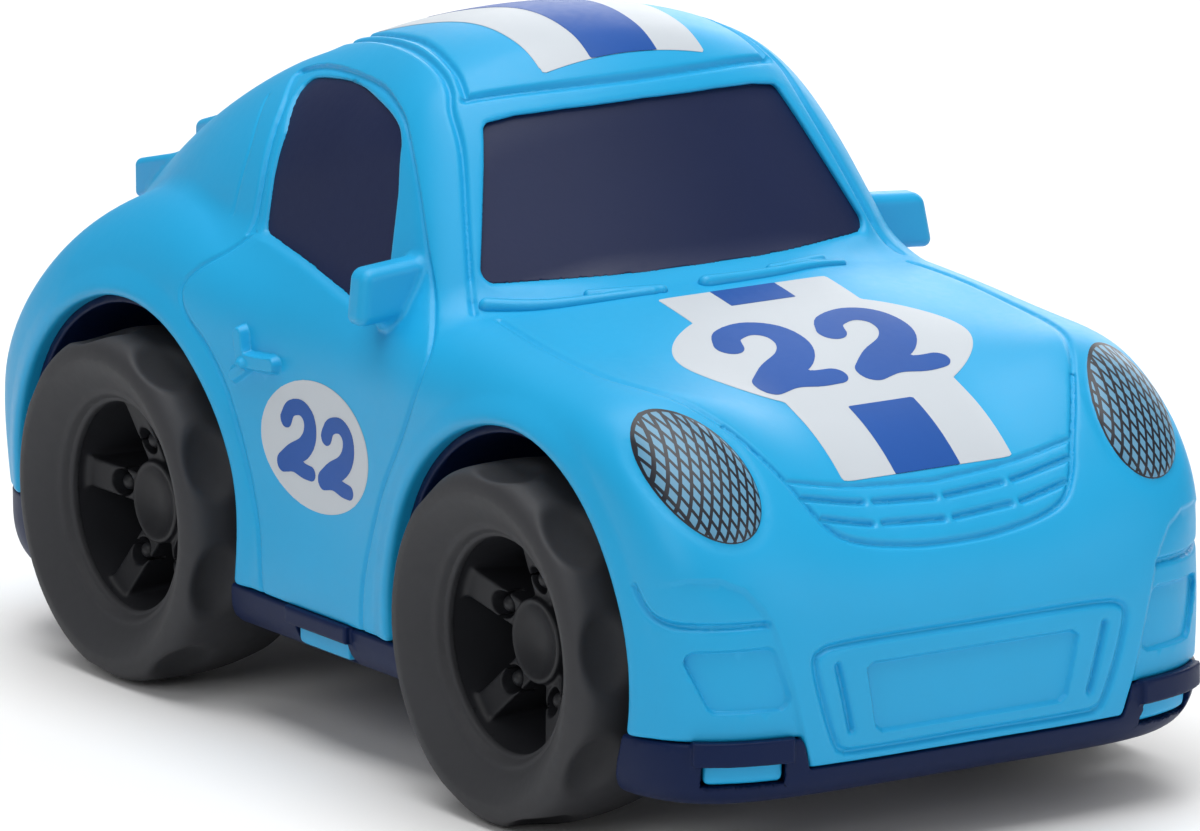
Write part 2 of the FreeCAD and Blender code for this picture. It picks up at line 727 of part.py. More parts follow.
def build_case_half(label, y_low, y_high):
    """Half of the motor case, with its pivots, screw bosses and, on the left, the drum."""
    wall = size("case_wall")
    on_left = y_high > 0
    hollow = (y_low, y_high - wall) if on_left else (y_low + wall, y_high)
    half = case_blank(y_low, y_high, 0).cut(case_blank(*hollow, wall))
    bosses = [cylinder_along_y(x, z, 2.2, y_low, y_high) for x, z in CASE_SCREWS]
    half = half.fuse(bosses)
    if on_left:
        drum = cylinder_along_y(SPRING_AXIS.x, SPRING_AXIS.z, 12.2, SPRING_LAYER[0], y_high)
        drum = drum.cut(cylinder_along_y(SPRING_AXIS.x, SPRING_AXIS.z, 11.2, SPRING_LAYER[0], y_high))
        half = half.fuse(drum)
    else:
        lugs = []
        for x, edge in zip(LUG_X, (size("case_rear"), size("case_front"))):
            low_x, high_x = min(x - 2.6, edge), max(x + 2.6, edge)
            lugs.append(box((low_x, LUG_Y - 2.6, LUG_BOTTOM), (high_x, LUG_Y + 2.6, LUG_BOTTOM + LUG_THICKNESS)))
        half = half.fuse(lugs)
    play = size("bearing_gap")
    holes = [cylinder_along_y(REAR_AXLE.x, REAR_AXLE.z, size("axle_radius") + play, y_low, y_high)]
    holes += [cylinder_along_y(axis.x, axis.z, size("shaft_radius") + play, y_low, y_high)
              for axis in (COMPOUND_AXIS, SPRING_AXIS, WINDING_AXIS)]
    holes += [cylinder_along_y(x, z, size("screw_radius"), y_low, min(y_high, 6.0)) for x, z in CASE_SCREWS]
    holes += [Part.makeCylinder(size("screw_radius"), 6, Vector(x, LUG_Y, LUG_BOTTOM - 1)) for x in LUG_X]
    return plain_piece(label, half.cut(holes).removeSplitter())


def screw(length):
    """A pan head screw with a cross recess, pointing down from its head's underside."""
    shank = Part.makeCylinder(size("screw_radius"), length, Vector(0, 0, -length))
    head = Part.makeCylinder(size("screw_head_radius"), size("screw_head_height"))
    head = head.makeFillet(0.5, [head.Edges[0]])
    recess = box((-1.1, -0.25, 0.6), (1.1, 0.25, 2)).fuse(box((-0.25, -1.1, 0.6), (0.25, 1.1, 2)))
    return head.cut(recess).fuse(shank).removeSplitter()


def placed(shape, position, rotation):
    moved = shape.copy()
    moved.Placement = Placement(position, rotation)
    return moved


def build_screws():
    across = [placed(screw(14.0), Vector(x, -size("case_half_width"), z), TO_RIGHT) for x, z in CASE_SCREWS]
    plain_piece("motor_case_screws", Part.makeCompound(across))
    down = [placed(screw(6.5), Vector(x, LUG_Y, LUG_BOTTOM + LUG_THICKNESS), Rotation()) for x in LUG_X]
    plain_piece("motor_mount_screws", Part.makeCompound(down))


# ---------------------------------------------------------------- assembly

build_body_shell()
build_window_insert()
build_chassis()

# Turn in degrees at which each axle's wheels came to rest.
FRONT_REST, REAR_REST = -32, -8

for end, x, rest in (("front", AXLE_X, FRONT_REST), ("rear", -AXLE_X, REAR_REST)):
    build_axle(f"{end}_axle", x)
    for side, direction, to_side in (("left", 1, TO_LEFT), ("right", -1, TO_RIGHT)):
        rotation = to_side * Rotation(Vector(0, 0, 1), rest)
        place = Placement(Vector(x, direction * size("wheel_inner_face"), AXLE_Z), rotation)
        build_tyre(f"tyre_{end}_{side}", place)
        build_hub(f"hub_{end}_{side}", place)

build_gears()
PIVOT = size("case_half_width") - 0.3
build_shaft("compound_shaft", COMPOUND_AXIS, "shaft_radius", -PIVOT, PIVOT)
build_shaft("winding_shaft", WINDING_AXIS, "shaft_radius", -PIVOT, PIVOT)
build_spring_arbor()
build_mainspring()
build_case_half("motor_case_right", -size("case_half_width"), 0.0)
build_case_half("motor_case_left", 0.0, size("case_half_width"))
build_screws()

doc.recompute()

pieces = [item for item in doc.Objects
          if item.TypeId in ("PartDesign::Body", "Part::Feature", "Part::Cylinder")]
for item in doc.Objects:
    if "Invalid" in item.State or "Error" in item.State:
        raise RuntimeError(f"{item.Label} failed: {item.State}")
os.makedirs("parts", exist_ok=True)
for piece in pieces:
    if piece.Shape.isNull() or not piece.Shape.isValid():
        raise RuntimeError(f"{piece.Label} has no valid shape")
    print(piece.Label, len(piece.Shape.Solids), round(piece.Shape.Volume, 1), piece.Shape.BoundBox)
    piece.Shape.exportStep(f"parts/{piece.Label}.step")
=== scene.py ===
import math

import bpy
import numpy as np
from mathutils import Matrix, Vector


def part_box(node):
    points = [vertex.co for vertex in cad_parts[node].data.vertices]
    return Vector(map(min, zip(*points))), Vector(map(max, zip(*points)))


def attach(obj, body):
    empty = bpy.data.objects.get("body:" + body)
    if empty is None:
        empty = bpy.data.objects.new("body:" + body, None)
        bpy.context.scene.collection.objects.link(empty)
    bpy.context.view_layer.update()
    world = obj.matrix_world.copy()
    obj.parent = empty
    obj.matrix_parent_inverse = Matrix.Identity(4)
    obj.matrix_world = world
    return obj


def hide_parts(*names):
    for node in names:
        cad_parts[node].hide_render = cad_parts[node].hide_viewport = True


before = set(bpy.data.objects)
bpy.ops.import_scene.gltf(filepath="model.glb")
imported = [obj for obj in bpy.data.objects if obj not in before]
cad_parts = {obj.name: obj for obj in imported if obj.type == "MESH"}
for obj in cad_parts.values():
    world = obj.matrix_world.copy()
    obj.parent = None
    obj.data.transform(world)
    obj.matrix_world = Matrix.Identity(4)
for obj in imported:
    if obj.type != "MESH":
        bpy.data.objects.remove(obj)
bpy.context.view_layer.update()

MM = 0.001


def node_box(node):
    """Lowest and highest corner of a CAD node, in millimetres."""
    low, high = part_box(node)
    return np.array(low) / MM, np.array(high) / MM


# ---------------------------------------------------------------- sizes, in millimetres

SHELL_HIGH = node_box("body_shell")[1]
PAN_LOW = node_box("chassis")[0]
TYRE_LOW, TYRE_HIGH = node_box("tyre_front_left")

AXLE_X = (TYRE_LOW[0] + TYRE_HIGH[0]) / 2
AXLE_Z = (TYRE_LOW[2] + TYRE_HIGH[2]) / 2
TYRE_RADIUS = (TYRE_HIGH[2] - TYRE_LOW[2]) / 2
TYRE_INNER_FACE = TYRE_LOW[1]
TYRE_WIDTH = TYRE_HIGH[1] - TYRE_LOW[1]
HALF_LENGTH = SHELL_HIGH[0]
HALF_WIDTH = 36.8
ARCH_RADIUS = 24.0
WALL = 2.2
ROOF_TOP = SHELL_HIGH[2]
FLOOR_HEIGHT = PAN_LOW[2]
AXLE_HOLE = 1.9
PAN_WALL, FLOOR_WALL = 2.6, 2.2
WELL_FACE, WELL_BACK = 20.5, 19.3


# ---------------------------------------------------------------- field helpers

def smax(a, b, r):
    """Smooth maximum: the larger of two fields, rounded off where they meet."""
    h = np.maximum(r - np.abs(a - b), 0.0) / r
    return np.maximum(a, b) + h * h * r * 0.25


def smin(a, b, r):
    return -smax(-a, -b, r)


def ramp(v, low, high):
    """Smooth step from 0 at low to 1 at high."""
    t = np.clip((v - low) / (high - low), 0.0, 1.0)
    return t * t * (3 - 2 * t)


def bell(v, centre, half):
    """Smooth bump of height 1 that reaches 0 at centre +- half."""
    t = np.clip(1 - ((v - centre) / half) ** 2, 0.0, 1.0)
    return t * t


def curve(*points):
    """Natural cubic spline through (u, v) points, as a function of u."""
    u, v = np.array(points, float).T
    count, gap = len(u), np.diff(u)
    matrix, right = np.eye(count), np.zeros(count)
    for i in range(1, count - 1):
        matrix[i, i - 1:i + 2] = gap[i - 1], 2 * (gap[i - 1] + gap[i]), gap[i]
        right[i] = 6 * ((v[i + 1] - v[i]) / gap[i] - (v[i] - v[i - 1]) / gap[i - 1])
    bend = np.linalg.solve(matrix, right)

    def at(w):
        w = np.clip(w, u[0], u[-1])
        i = np.clip(np.searchsorted(u, w) - 1, 0, count - 2)
        a, b, step = u[i + 1] - w, w - u[i], gap[i]
        return ((bend[i] * a ** 3 + bend[i + 1] * b ** 3) / (6 * step)
                + (v[i] / step - bend[i] * step / 6) * a + (v[i + 1] / step - bend[i + 1] * step / 6) * b)

    return at


def smooth_path(points, closed=False, per_span=7):
    """Catmull-Rom polyline through the points."""
    p = np.array(points, float)
    count = len(p)
    spans = count if closed else count - 1
    path = []
    for i in range(spans):
        four = (i - 1, i, i + 1, i + 2)
        a, b, c, d = (p[k % count] if closed else p[min(max(k, 0), count - 1)] for k in four)
        for t in np.linspace(0, 1, per_span, endpoint=False):
            path.append(0.5 * (2 * b + (c - a) * t + (2 * a - 5 * b + 4 * c - d) * t * t
                               + (3 * b - a - 3 * c + d) * t ** 3))
    if not closed:
        path.append(p[-1])
    return np.array(path)


def path_distance(path, u, v, closed=False):
    """Distance from each (u, v) to a polyline."""
    best = np.full(u.shape, 1e9)
    ends = np.roll(path, -1, axis=0) if closed else path[1:]
    for (ax, ay), (bx, by) in zip(path, ends):
        dx, dy = bx - ax, by - ay
        t = np.clip(((u - ax) * dx + (v - ay) * dy) / (dx * dx + dy * dy + 1e-12), 0, 1)
        best = np.minimum(best, (u - ax - t * dx) ** 2 + (v - ay - t * dy) ** 2)
    return np.sqrt(best)


def area_distance(path, u, v):
    """Signed distance to a closed polyline: negative inside."""
    inside = np.zeros(u.shape, bool)
    for (ax, ay), (bx, by) in zip(path, np.roll(path, -1, axis=0)):
        crosses = (ay > v) != (by > v)
        at = ax + (v - ay) * (bx - ax) / (by - ay if by != ay else 1e-12)
        inside ^= crosses & (u < at)
    distance = path_distance(path, u, v, closed=True)
    return np.where(inside, -distance, distance)


def columns(*lists):
    """One array whose columns are the given lists."""
    return np.stack(lists, 1)


def groove(distance, depth, half_width):
    """A rounded channel to add to a field."""
    return depth * np.exp(-(distance / half_width) ** 2)


# ---------------------------------------------------------------- implicit mesher

TRIANGLE_LIMIT = 195000


def march(field, low, high, step, mirrored):
    """Surface net of field = 0 on a grid. Returns points and quads. With mirrored, only
    the half with y > 0 is sampled and the other half is its mirror image."""
    axes = []
    for k in range(3):
        start = -step / 2 if (k == 1 and mirrored) else low[k]
        axes.append(start + step * np.arange(int(math.ceil((high[k] - start) / step)) + 1))
    shape = tuple(len(axis) for axis in axes)
    values = np.empty(shape)
    for i, x in enumerate(axes[0]):
        y, z = np.meshgrid(axes[1], axes[2], indexing="ij")
        values[i] = field(np.full(y.shape, x), y, z)
    inside = values < 0
    corners = [(i, j, k) for i in (0, 1) for j in (0, 1) for k in (0, 1)]
    cells = tuple(s - 1 for s in shape)

    def corner(array, offset):
        return array[tuple(slice(o, o + c) for o, c in zip(offset, cells))]

    count = sum(corner(inside, c).astype(np.int8) for c in corners)
    active = (count > 0) & (count < 8)
    index = np.full(cells, -1, np.int64)
    where = np.argwhere(active)
    index[active] = np.arange(len(where))
    total = np.zeros((len(where), 3))
    hits = np.zeros(len(where))
    for a in corners:
        for axis in range(3):
            if a[axis]:
                continue
            b = tuple(1 if n == axis else o for n, o in enumerate(a))
            va, vb = corner(values, a)[active], corner(values, b)[active]
            cross = (va < 0) != (vb < 0)
            share = np.where(cross, va / np.where(cross, va - vb, 1.0), 0.0)
            point = np.tile(np.array(a, float), (len(where), 1))
            point[:, axis] += share
            total += point * cross[:, None]
            hits += cross
    points = (where + total / hits[:, None]) * step + np.array([axis[0] for axis in axes])
    if mirrored:
        points[where[:, 1] == 0, 1] = 0.0
    quads = []
    for axis in range(3):
        u, v = (axis + 1) % 3, (axis + 2) % 3
        along = [slice(None)] * 3
        along[axis] = slice(0, shape[axis] - 1)
        beyond = [slice(None)] * 3
        beyond[axis] = slice(1, shape[axis])
        change = inside[tuple(along)] != inside[tuple(beyond)]
        spots = np.argwhere(change)
        keep = (spots[:, u] > 0) & (spots[:, v] > 0) & (spots[:, u] < cells[u]) & (spots[:, v] < cells[v])
        spots = spots[keep]
        around = []
        for du, dv in ((0, 0), (-1, 0), (-1, -1), (0, -1)):
            cell = spots.copy()
            cell[:, u] += du
            cell[:, v] += dv
            around.append(index[tuple(cell.T)])
        quad = columns(*around)
        flip = ~inside[tuple(spots.T)]
        quad[flip] = quad[flip][:, ::-1]
        quads.append(quad)
    quads = np.concatenate(quads)
    quads = quads[(quads >= 0).all(1)]
    if mirrored:
        quads = quads[~(points[quads][:, :, 1] < 1e-9).all(1)]
        middle = points[:, 1] < 1e-9
        twin = np.arange(len(points))
        twin[~middle] = len(points) + np.arange((~middle).sum())
        points = np.concatenate([points, points[~middle] * (1, -1, 1)])
        quads = np.concatenate([quads, twin[quads][:, ::-1]])
    return points, quads


def slope(field, p, h=0.02):
    """Gradient of the field at points p."""
    g = np.empty_like(p)
    for k in range(3):
        step = np.zeros(3)
        step[k] = h
        g[:, k] = (field(*(p + step).T) - field(*(p - step).T)) / (2 * h)
    return g


def settle(field, p, rounds=3, reach=0.35):
    """Move points onto field = 0 along the gradient."""
    p = p.copy()
    for _ in range(rounds):
        g = slope(field, p)
        size2 = np.maximum((g * g).sum(1), 0.05)
        move = -(field(*p.T) / size2)[:, None] * g
        length = np.linalg.norm(move, axis=1, keepdims=True)
        p += move * np.minimum(1.0, reach / np.maximum(length, 1e-9))
    return p


def edges_of(tris):
    """The edges of all triangles: their first ones, then the second and the third."""
    return np.concatenate([tris[:, [0, 1]], tris[:, [1, 2]], tris[:, [2, 0]]])


def per_triangle(number, back):
    """Give each triangle the numbers of its three edges, in the order of edges_of."""
    return number[back].reshape(3, -1).T


def no_longer(p, a, b, c, d):
    """True where the line from a to b is no longer than the one from c to d."""
    return (np.linalg.norm(p[a] - p[b], axis=1) <= np.linalg.norm(p[c] - p[d], axis=1))[:, None]


def refine(field, p, tris, shortest, tolerance, rounds):
    """Split edges that lie off the surface by more than tolerance, the worst first."""
    for _ in range(rounds):
        edges = edges_of(tris)
        low, high = edges.min(1), edges.max(1)
        keys, back = np.unique(low * len(p) + high, return_inverse=True)
        a, b = keys // len(p), keys % len(p)
        middle = (p[a] + p[b]) / 2
        length = np.linalg.norm(p[a] - p[b], axis=1)
        quarters = [p[a] + share * (p[b] - p[a]) for share in (0.25, 0.5, 0.75)]
        off = np.max([np.abs(field(*spot.T)) for spot in quarters], axis=0)
        split = (off > tolerance) & (length > shortest)
        room = (TRIANGLE_LIMIT - len(tris)) // 2
        if room < 1 or not split.any():
            break
        if split.sum() > room:
            split &= off >= np.sort(off[split])[-room]
        number = np.full(len(keys), -1)
        number[split] = len(p) + np.arange(split.sum())
        p = np.concatenate([p, settle(field, middle[split], 2)])
        tris = split_triangles(p, tris, per_triangle(number, back))
    return p, tris


def split_triangles(p, tris, m):
    """Split each triangle by its edges' new middle points; -1 means the edge is whole."""
    marks = (m >= 0).sum(1)
    pieces = [tris[marks == 0]]
    for turn in range(3):
        t = np.roll(tris, -turn, axis=1)
        e = np.roll(m, -turn, axis=1)
        one = (marks == 1) & (e[:, 0] >= 0)
        a, b, c, ab = t[one, 0], t[one, 1], t[one, 2], e[one, 0]
        pieces += [columns(a, ab, c), columns(ab, b, c)]
        two = (marks == 2) & (e[:, 2] < 0)
        a, b, c, ab, bc = t[two, 0], t[two, 1], t[two, 2], e[two, 0], e[two, 1]
        pieces.append(columns(ab, b, bc))
        short = no_longer(p, a, bc, ab, c)
        pieces.append(np.where(short, columns(a, ab, bc), columns(a, ab, c)))
        pieces.append(np.where(short, columns(a, bc, c), columns(ab, bc, c)))
    three = marks == 3
    (a, b, c), (ab, bc, ca) = tris[three].T, m[three].T
    pieces += [columns(a, ab, ca), columns(ab, b, bc),
               columns(ca, bc, c), columns(ab, bc, ca)]
    return np.concatenate(pieces)


def triangles_of(p, quads):
    """Split quads along their shorter diagonal."""
    a, b, c, d = quads.T
    short = no_longer(p, a, c, b, d)
    first = np.where(short, columns(a, b, c), columns(a, b, d))
    second = np.where(short, columns(a, c, d), columns(b, c, d))
    return np.concatenate([first, second])


def new_mesh(name, p, faces, normals=None):
    """Blender object from points in millimetres."""
    mesh = bpy.data.meshes.new(name)
    faces = np.asarray(faces)
    mesh.vertices.add(len(p))
    mesh.vertices.foreach_set("co", (np.asarray(p) * MM).astype(np.float32).ravel())
    sides = faces.shape[1]
    mesh.loops.add(faces.size)
    mesh.loops.foreach_set("vertex_index", faces.astype(np.int32).ravel())
    mesh.polygons.add(len(faces))
    mesh.polygons.foreach_set("loop_start", np.arange(0, faces.size, sides, dtype=np.int32))
    mesh.update(calc_edges=True)
    mesh.validate()
    mesh.shade_smooth()
    if normals is not None:
        mesh.normals_split_custom_set_from_vertices(normals)
    piece = bpy.data.objects.new(name, mesh)
    bpy.context.scene.collection.objects.link(piece)
    return piece


def thinned(p, quads, share):
    """Collapse decimation with Blender's own modifier."""
    piece = new_mesh("thinned", p, quads)
    modifier = piece.modifiers.new("thin", "DECIMATE")
    modifier.ratio = share
    depsgraph = bpy.context.evaluated_depsgraph_get()
    mesh = bpy.data.meshes.new_from_object(piece.evaluated_get(depsgraph))
    mesh.calc_loop_triangles()
    points = np.empty(len(mesh.vertices) * 3)
    mesh.vertices.foreach_get("co", points)
    tris = np.empty(len(mesh.loop_triangles) * 3, np.int32)
    mesh.loop_triangles.foreach_get("vertices", tris)
    bpy.data.objects.remove(piece)
    return points.reshape(-1, 3) / MM, tris.reshape(-1, 3).astype(np.int64)


def carve(name, field, low, high, step, mirrored=True, share=1.0, shortest=0.3, tolerance=0.02,
          rounds=4):
    """Build a piece from an implicit field: net, thin, refine where it bends, settle, shade."""
    p, quads = march(field, low, high, step, mirrored)
    p = settle(field, p)
    if share < 1.0:
        p, tris = thinned(p, quads, share)
        p = settle(field, p, 2)
    else:
        tris = triangles_of(p, quads)
    p, tris = refine(field, p, tris, shortest, tolerance, rounds)
    g = slope(field, p, 0.04)
    normals = g / np.maximum(np.linalg.norm(g, axis=1, keepdims=True), 1e-9)
    print(name, len(p), "points", len(tris), "triangles")
    return new_mesh(name, p, tris, normals)


# ---------------------------------------------------------------- body form

deck_middle = curve((-82, 44), (-76, 47), (-68, 50.5), (-58, 53), (-46, 54.2), (-28, 54.8), (0, 55),
                    (22, 54.8), (32, 53.5), (45, 50.6), (58, 46.0), (68, 41.0), (74, 37), (82, 31))
deck_side = curve((-84, 20), (-78, 31), (-72, 39.6), (-65, 46.4), (-56, 51.8), (-46, 55.6), (-36, 56.8),
                  (-24, 54.6), (-12, 52.6), (4, 51.8), (20, 52.2), (34, 51.4), (46, 50.2), (56, 49.7),
                  (63, 48.5), (69, 45.0), (74, 39.5), (82, 26))
nose_line = curve((0, 73.6), (8, 75.2), (14, 75.9), (20, 76.3), (27, 76.1), (33, 74.9), (38, 72.6),
                  (43, 69.3), (50, 63), (60, 52))
tail_line = curve((0, 72.0), (10, 73.4), (20, 75.2), (30, 76.0), (38, 75.4), (45, 73.2), (51, 70), (58, 64),
                  (66, 54))
roof_line = curve((-82, 45), (-74, 50.0), (-66, 55.0), (-57, 60.8), (-46, 67.0), (-35, 72.1), (-25, 75.5),
                  (-15, 78.0), (-6, 79.3), (0, 79.0), (7, 76.9), (13, 73.4), (24, 65))
cabin_line = curve((-84, 12), (-76, 15.5), (-66, 20), (-56, 24.4), (-44, 28.6), (-32, 30.9), (-18, 31.9),
                   (0, 32.1), (12, 32.0), (26, 31))

NOSE_FROM, NOSE_REACH = 52.0, 24.4
TAIL_FROM, TAIL_REACH = -50.0, 26.2
NOSE_TIP, TAIL_TIP = 76.3, 76.0


def plan(x, y, z, width):
    """Distance to the lower body's outline at height z: straight sides, rounded ends."""
    forward = x + (NOSE_TIP - nose_line(z)) * (x > 0) - (TAIL_TIP - tail_line(z)) * (x < 0)
    ahead = np.maximum((forward - NOSE_FROM) / NOSE_REACH, 0)
    behind = np.maximum((TAIL_FROM - forward) / TAIL_REACH, 0)
    side = np.abs(y) / width
    power = np.where(x > 0, 4.3 + 0.8 * bell(z, 38, 12), 5.4 - 1.8 * ramp(z, 24, 48))
    reach = np.where(x > 0, NOSE_REACH, TAIL_REACH)
    end = np.maximum(ahead, behind)
    radius = np.maximum((end ** power + side ** power) ** (1 / power), 1e-6)
    lengthwise = (end / radius) ** (power - 1) / reach
    sideways = (side / radius) ** (power - 1) / width
    steep = np.sqrt(lengthwise ** 2 + sideways ** 2)
    return (radius - 1) / np.maximum(steep, 1e-3)


def side_width(x, z):
    """Half width of the lower body: waisted at the doors, leaning in towards the deck."""
    waist = 1.5 * bell(x, -2, 24) * ramp(z, 17, 30)
    hip = 0.5 * bell(x, -42, 26) * bell(z, 34, 18)
    return HALF_WIDTH - 0.2 - waist + hip - 0.0016 * np.maximum(z - 26, 0) ** 2


def tub(x, y, z):
    """Lower body without details."""
    share = ramp(np.abs(y), 9, 27)
    top = deck_middle(x) * (1 - share) + deck_side(x) * share
    steep = 1.0 + 0.25 * np.clip((np.abs(x) - 55) / 15, 0, 1)
    shoulder = 10 + 5 * bell(x, -45, 30) - 2.0 * bell(x, 55, 30)
    return smax((z - top) / steep, plan(x, y, z, side_width(x, z)), shoulder)


def windscreen(x, y, z):
    """Bowed, raked plane of the windscreen's frame."""
    return (x - (24.4 - 0.72 * (z - 54.6) - y * y / 112)) / 1.23


def cabin(x, y, z):
    roof = (z - roof_line(x) + y * y / 105) / 1.08
    lean = (np.abs(y) - cabin_line(x) + 0.31 * (smax(z, 44, 6) - 50)) / 1.06
    edge = 8.5 - 3.5 * ramp(x, -12, 2)
    glasshouse = smax(smax(roof, lean, edge), windscreen(x, y, z), 3.2)
    return smax(glasshouse, -x - 72.0 + 0.2 * np.maximum(z - 40, 0), 3.0)


def form(x, y, z):
    """Outer surface of the whole body, without details."""
    blend = 3.0 - 2.0 * ramp(-x, 14, 34)
    return smin(tub(x, y, z), cabin(x, y, z), blend)


def shell_seam(x, y):
    """Height of the shell's lower edge, with the tongue of the front bumper."""
    edge = 15.6 + 1.2 * ramp(-x, 0, 60) - 0.6 * ramp(x, 20, 60)
    tongue = ramp(x, 66, 70) * (1 - ramp(np.abs(y), 20.2, 21.6))
    return edge - (edge - 11.5) * tongue


def arch_distance(x, y, z):
    """Distance outwards from the nearest wheel arch's edge; negative inside the arch."""
    radius = np.hypot(np.abs(x) - AXLE_X, z - AXLE_Z)
    return smax(radius - ARCH_RADIUS, WELL_FACE - np.abs(y), 1.0)


# ---------------------------------------------------------------- windows

SIDE_GLASS = np.concatenate([
    [(-19.2, 54.4), (-19.9, 54.7), (-20.2, 55.4), (-22.4, 64.9), (-25.2, 68.3)],
    smooth_path([(-25.4, 69.2), (-24.4, 70.0), (-19.9, 70.8), (-15.0, 71.3), (-9.6, 71.2), (-3.0, 70.4),
                 (0.6, 69.2), (2.2, 67.7)]),
    [(4.1, 62.8), (6.9, 51.6), (6.6, 50.6), (5.6, 50.1), (-0.3, 51.0), (-10.5, 53.0)]])
# Half of the windscreen's outline, from the front, as far inside its edge as the corners are round.
SCREEN_CORNER = 1.2
SCREEN_HALF = [(0, 70.3), (10.0, 70.1), (15.5, 69.8), (18.4, 69.3), (23.8, 55.9), (12.0, 56.1), (0, 56.2)]
SCREEN_GLASS = np.array(SCREEN_HALF + [(-y, z) for y, z in reversed(SCREEN_HALF[1:-1])])
REAR_GLASS = smooth_path([(-29.5, -13), (-29.0, 0), (-29.5, 13), (-31, 15), (-38, 14.4), (-46, 13),
                          (-47.6, 11.2), (-48.2, 0), (-47.6, -11.2), (-46, -13), (-38, -14.4), (-31, -15)],
                          closed=True)


def nearby(mask, field, x, y, z, far):
    """Evaluate a field only where mask holds; it is far elsewhere."""
    result = np.full(x.shape, far)
    if mask.any():
        result[mask] = field(x[mask], y[mask], z[mask])
    return result


def glass_distance(x, y, z):
    """Distance to the nearest window's outline, measured across the surface; negative inside."""
    beside = nearby((z > 46) & (z < 76) & (x > -28) & (x < 9) & (np.abs(y) > 12),
                    lambda x, y, z: area_distance(SIDE_GLASS, x, z), x, y, z, 30.0)
    ahead = nearby((z > 50) & (z < 76) & (x > 4) & (np.abs(y) < 30),
                   lambda x, y, z: area_distance(SCREEN_GLASS, y, z) - SCREEN_CORNER, x, y, z, 30.0)
    behind = nearby((z > 58) & (x > -53) & (x < -25) & (np.abs(y) < 20),
                    lambda x, y, z: area_distance(REAR_GLASS, x, y), x, y, z, 30.0)
    return np.minimum(np.minimum(beside, ahead), behind)


# ---------------------------------------------------------------- lines and panels on the skin

def drawn(*points, closed=False):
    """Smooth line through (x, y, z) points, laid on the left half of the form."""
    return settle(form, smooth_path(points, closed, per_span=4), rounds=6, reach=1.0)


def line_distance(path, x, y, z, height=0.0, reach=2.6):
    """Distance across the skin to a drawn line, for points that lie height above the skin."""
    low, high = path.min(0) - reach, path.max(0) + reach
    mask = ((x > low[0]) & (x < high[0]) & (y > low[1]) & (y < high[1]) & (z > low[2]) & (z < high[2]))
    result = np.full(x.shape, reach)
    if mask.any():
        p = columns(x[mask], y[mask], z[mask])
        best = np.full(len(p), reach * reach)
        for a, b in zip(path[:-1], path[1:]):
            run = b - a
            t = np.clip(((p - a) @ run) / (run @ run + 1e-12), 0, 1)
            best = np.minimum(best, ((p - a - t[:, None] * run) ** 2).sum(1))
        above = np.broadcast_to(height, x.shape)[mask]
        result[mask] = np.sqrt(np.maximum(best - above ** 2, 0))
    return result


DOOR_FRONT = drawn((-22.3, 31.0, 54.2), (-23.1, 28.6, 60.2), (-25.6, 24.4, 67.0), (-28.4, 21.4, 69.2),
                   (-29.7, 20.0, 70.1), (-28.6, 19.7, 70.9), (-23.9, 20.0, 72.0), (-15.7, 21.5, 72.8),
                   (-6.8, 22.9, 72.6), (-1.1, 24.0, 71.2), (2.6, 24.9, 69.3), (7.4, 26.9, 64.8),
                   (12.4, 29.0, 58.1), (16.0, 30.4, 53.4), (20.4, 33.6, 49.4), (21.2, 35.2, 46.9),
                   (20.6, 36.0, 43.8), (18.0, 36.2, 38.5), (14.2, 36.2, 32.5), (11.6, 36.2, 26.5),
                   (10.4, 36.2, 21.0), (10.3, 36.2, 14.5))
PILLAR_LINE = drawn((-27.2, 30.2, 55.5), (-28.0, 26.8, 62.6), (-31.5, 22.4, 67.2))
DOOR_REAR = drawn((-21.4, 31.2, 54.6), (-24.4, 33.2, 51.6), (-27.5, 35.1, 49.4), (-29.0, 36.0, 47.2),
                  (-27.4, 36.5, 44.6), (-23.0, 36.5, 41.9), (-19.3, 36.3, 38.2), (-16.2, 36.2, 33.0),
                  (-13.6, 36.2, 27.0), (-11.6, 36.2, 21.5), (-10.6, 36.2, 14.5))
OUTER_GUTTER = drawn((-44, 9.5, 67.8), (-34, 12.2, 72.0), (-22.5, 14.7, 74.9), (-9.1, 18.0, 76.5),
                     (0.0, 19.8, 75.6), (4.2, 20.8, 73.9), (6.4, 21.9, 71.9), (10.0, 22.8, 67.9),
                     (14.8, 25.2, 60.4), (20.8, 28.2, 52.6))
INNER_GUTTER = drawn((-43, 7.0, 68.5), (-32, 10.2, 73.2), (-18.4, 14.2, 76.0), (-6.6, 17.0, 77.0),
                     (2.0, 18.8, 75.6), (5.2, 19.6, 74.0), (6.4, 19.9, 72.8))
HEADER = drawn((6.2, 19.9, 72.8), (8.4, 12.0, 73.2), (9.4, 6.0, 73.3), (9.8, 0.0, 73.3))
HOOD_SEAM = drawn((24.0, 27.0, 52.0), (34.2, 28.2, 51.3), (46.0, 28.1, 50.5), (53.7, 26.7, 49.2),
                  (58.5, 24.7, 47.4), (61.4, 22.9, 45.8))
GRILLE = drawn((61.4, 22.9, 45.8), (64.6, 20.7, 43.0), (67.4, 18.6, 40.2), (69.8, 16.9, 37.6),
               (71.4, 14.8, 35.4), (72.4, 11.2, 34.3), (73.2, 5.0, 33.6), (73.4, 0.0, 33.5))
GRILLE_TOP = drawn((67.3, 18.5, 40.6), (68.3, 9.0, 39.9), (68.8, 0.0, 39.4))
SLOTS = [drawn((68.6, 17.5, 39.0), (69.6, 9.8, 38.3)), drawn((69.7, 8.2, 38.2), (70.2, 0.8, 37.9)),
         drawn((70.4, 15.8, 37.0), (71.3, 9.8, 36.2)), drawn((71.4, 8.2, 36.1), (71.9, 0.8, 35.8))]
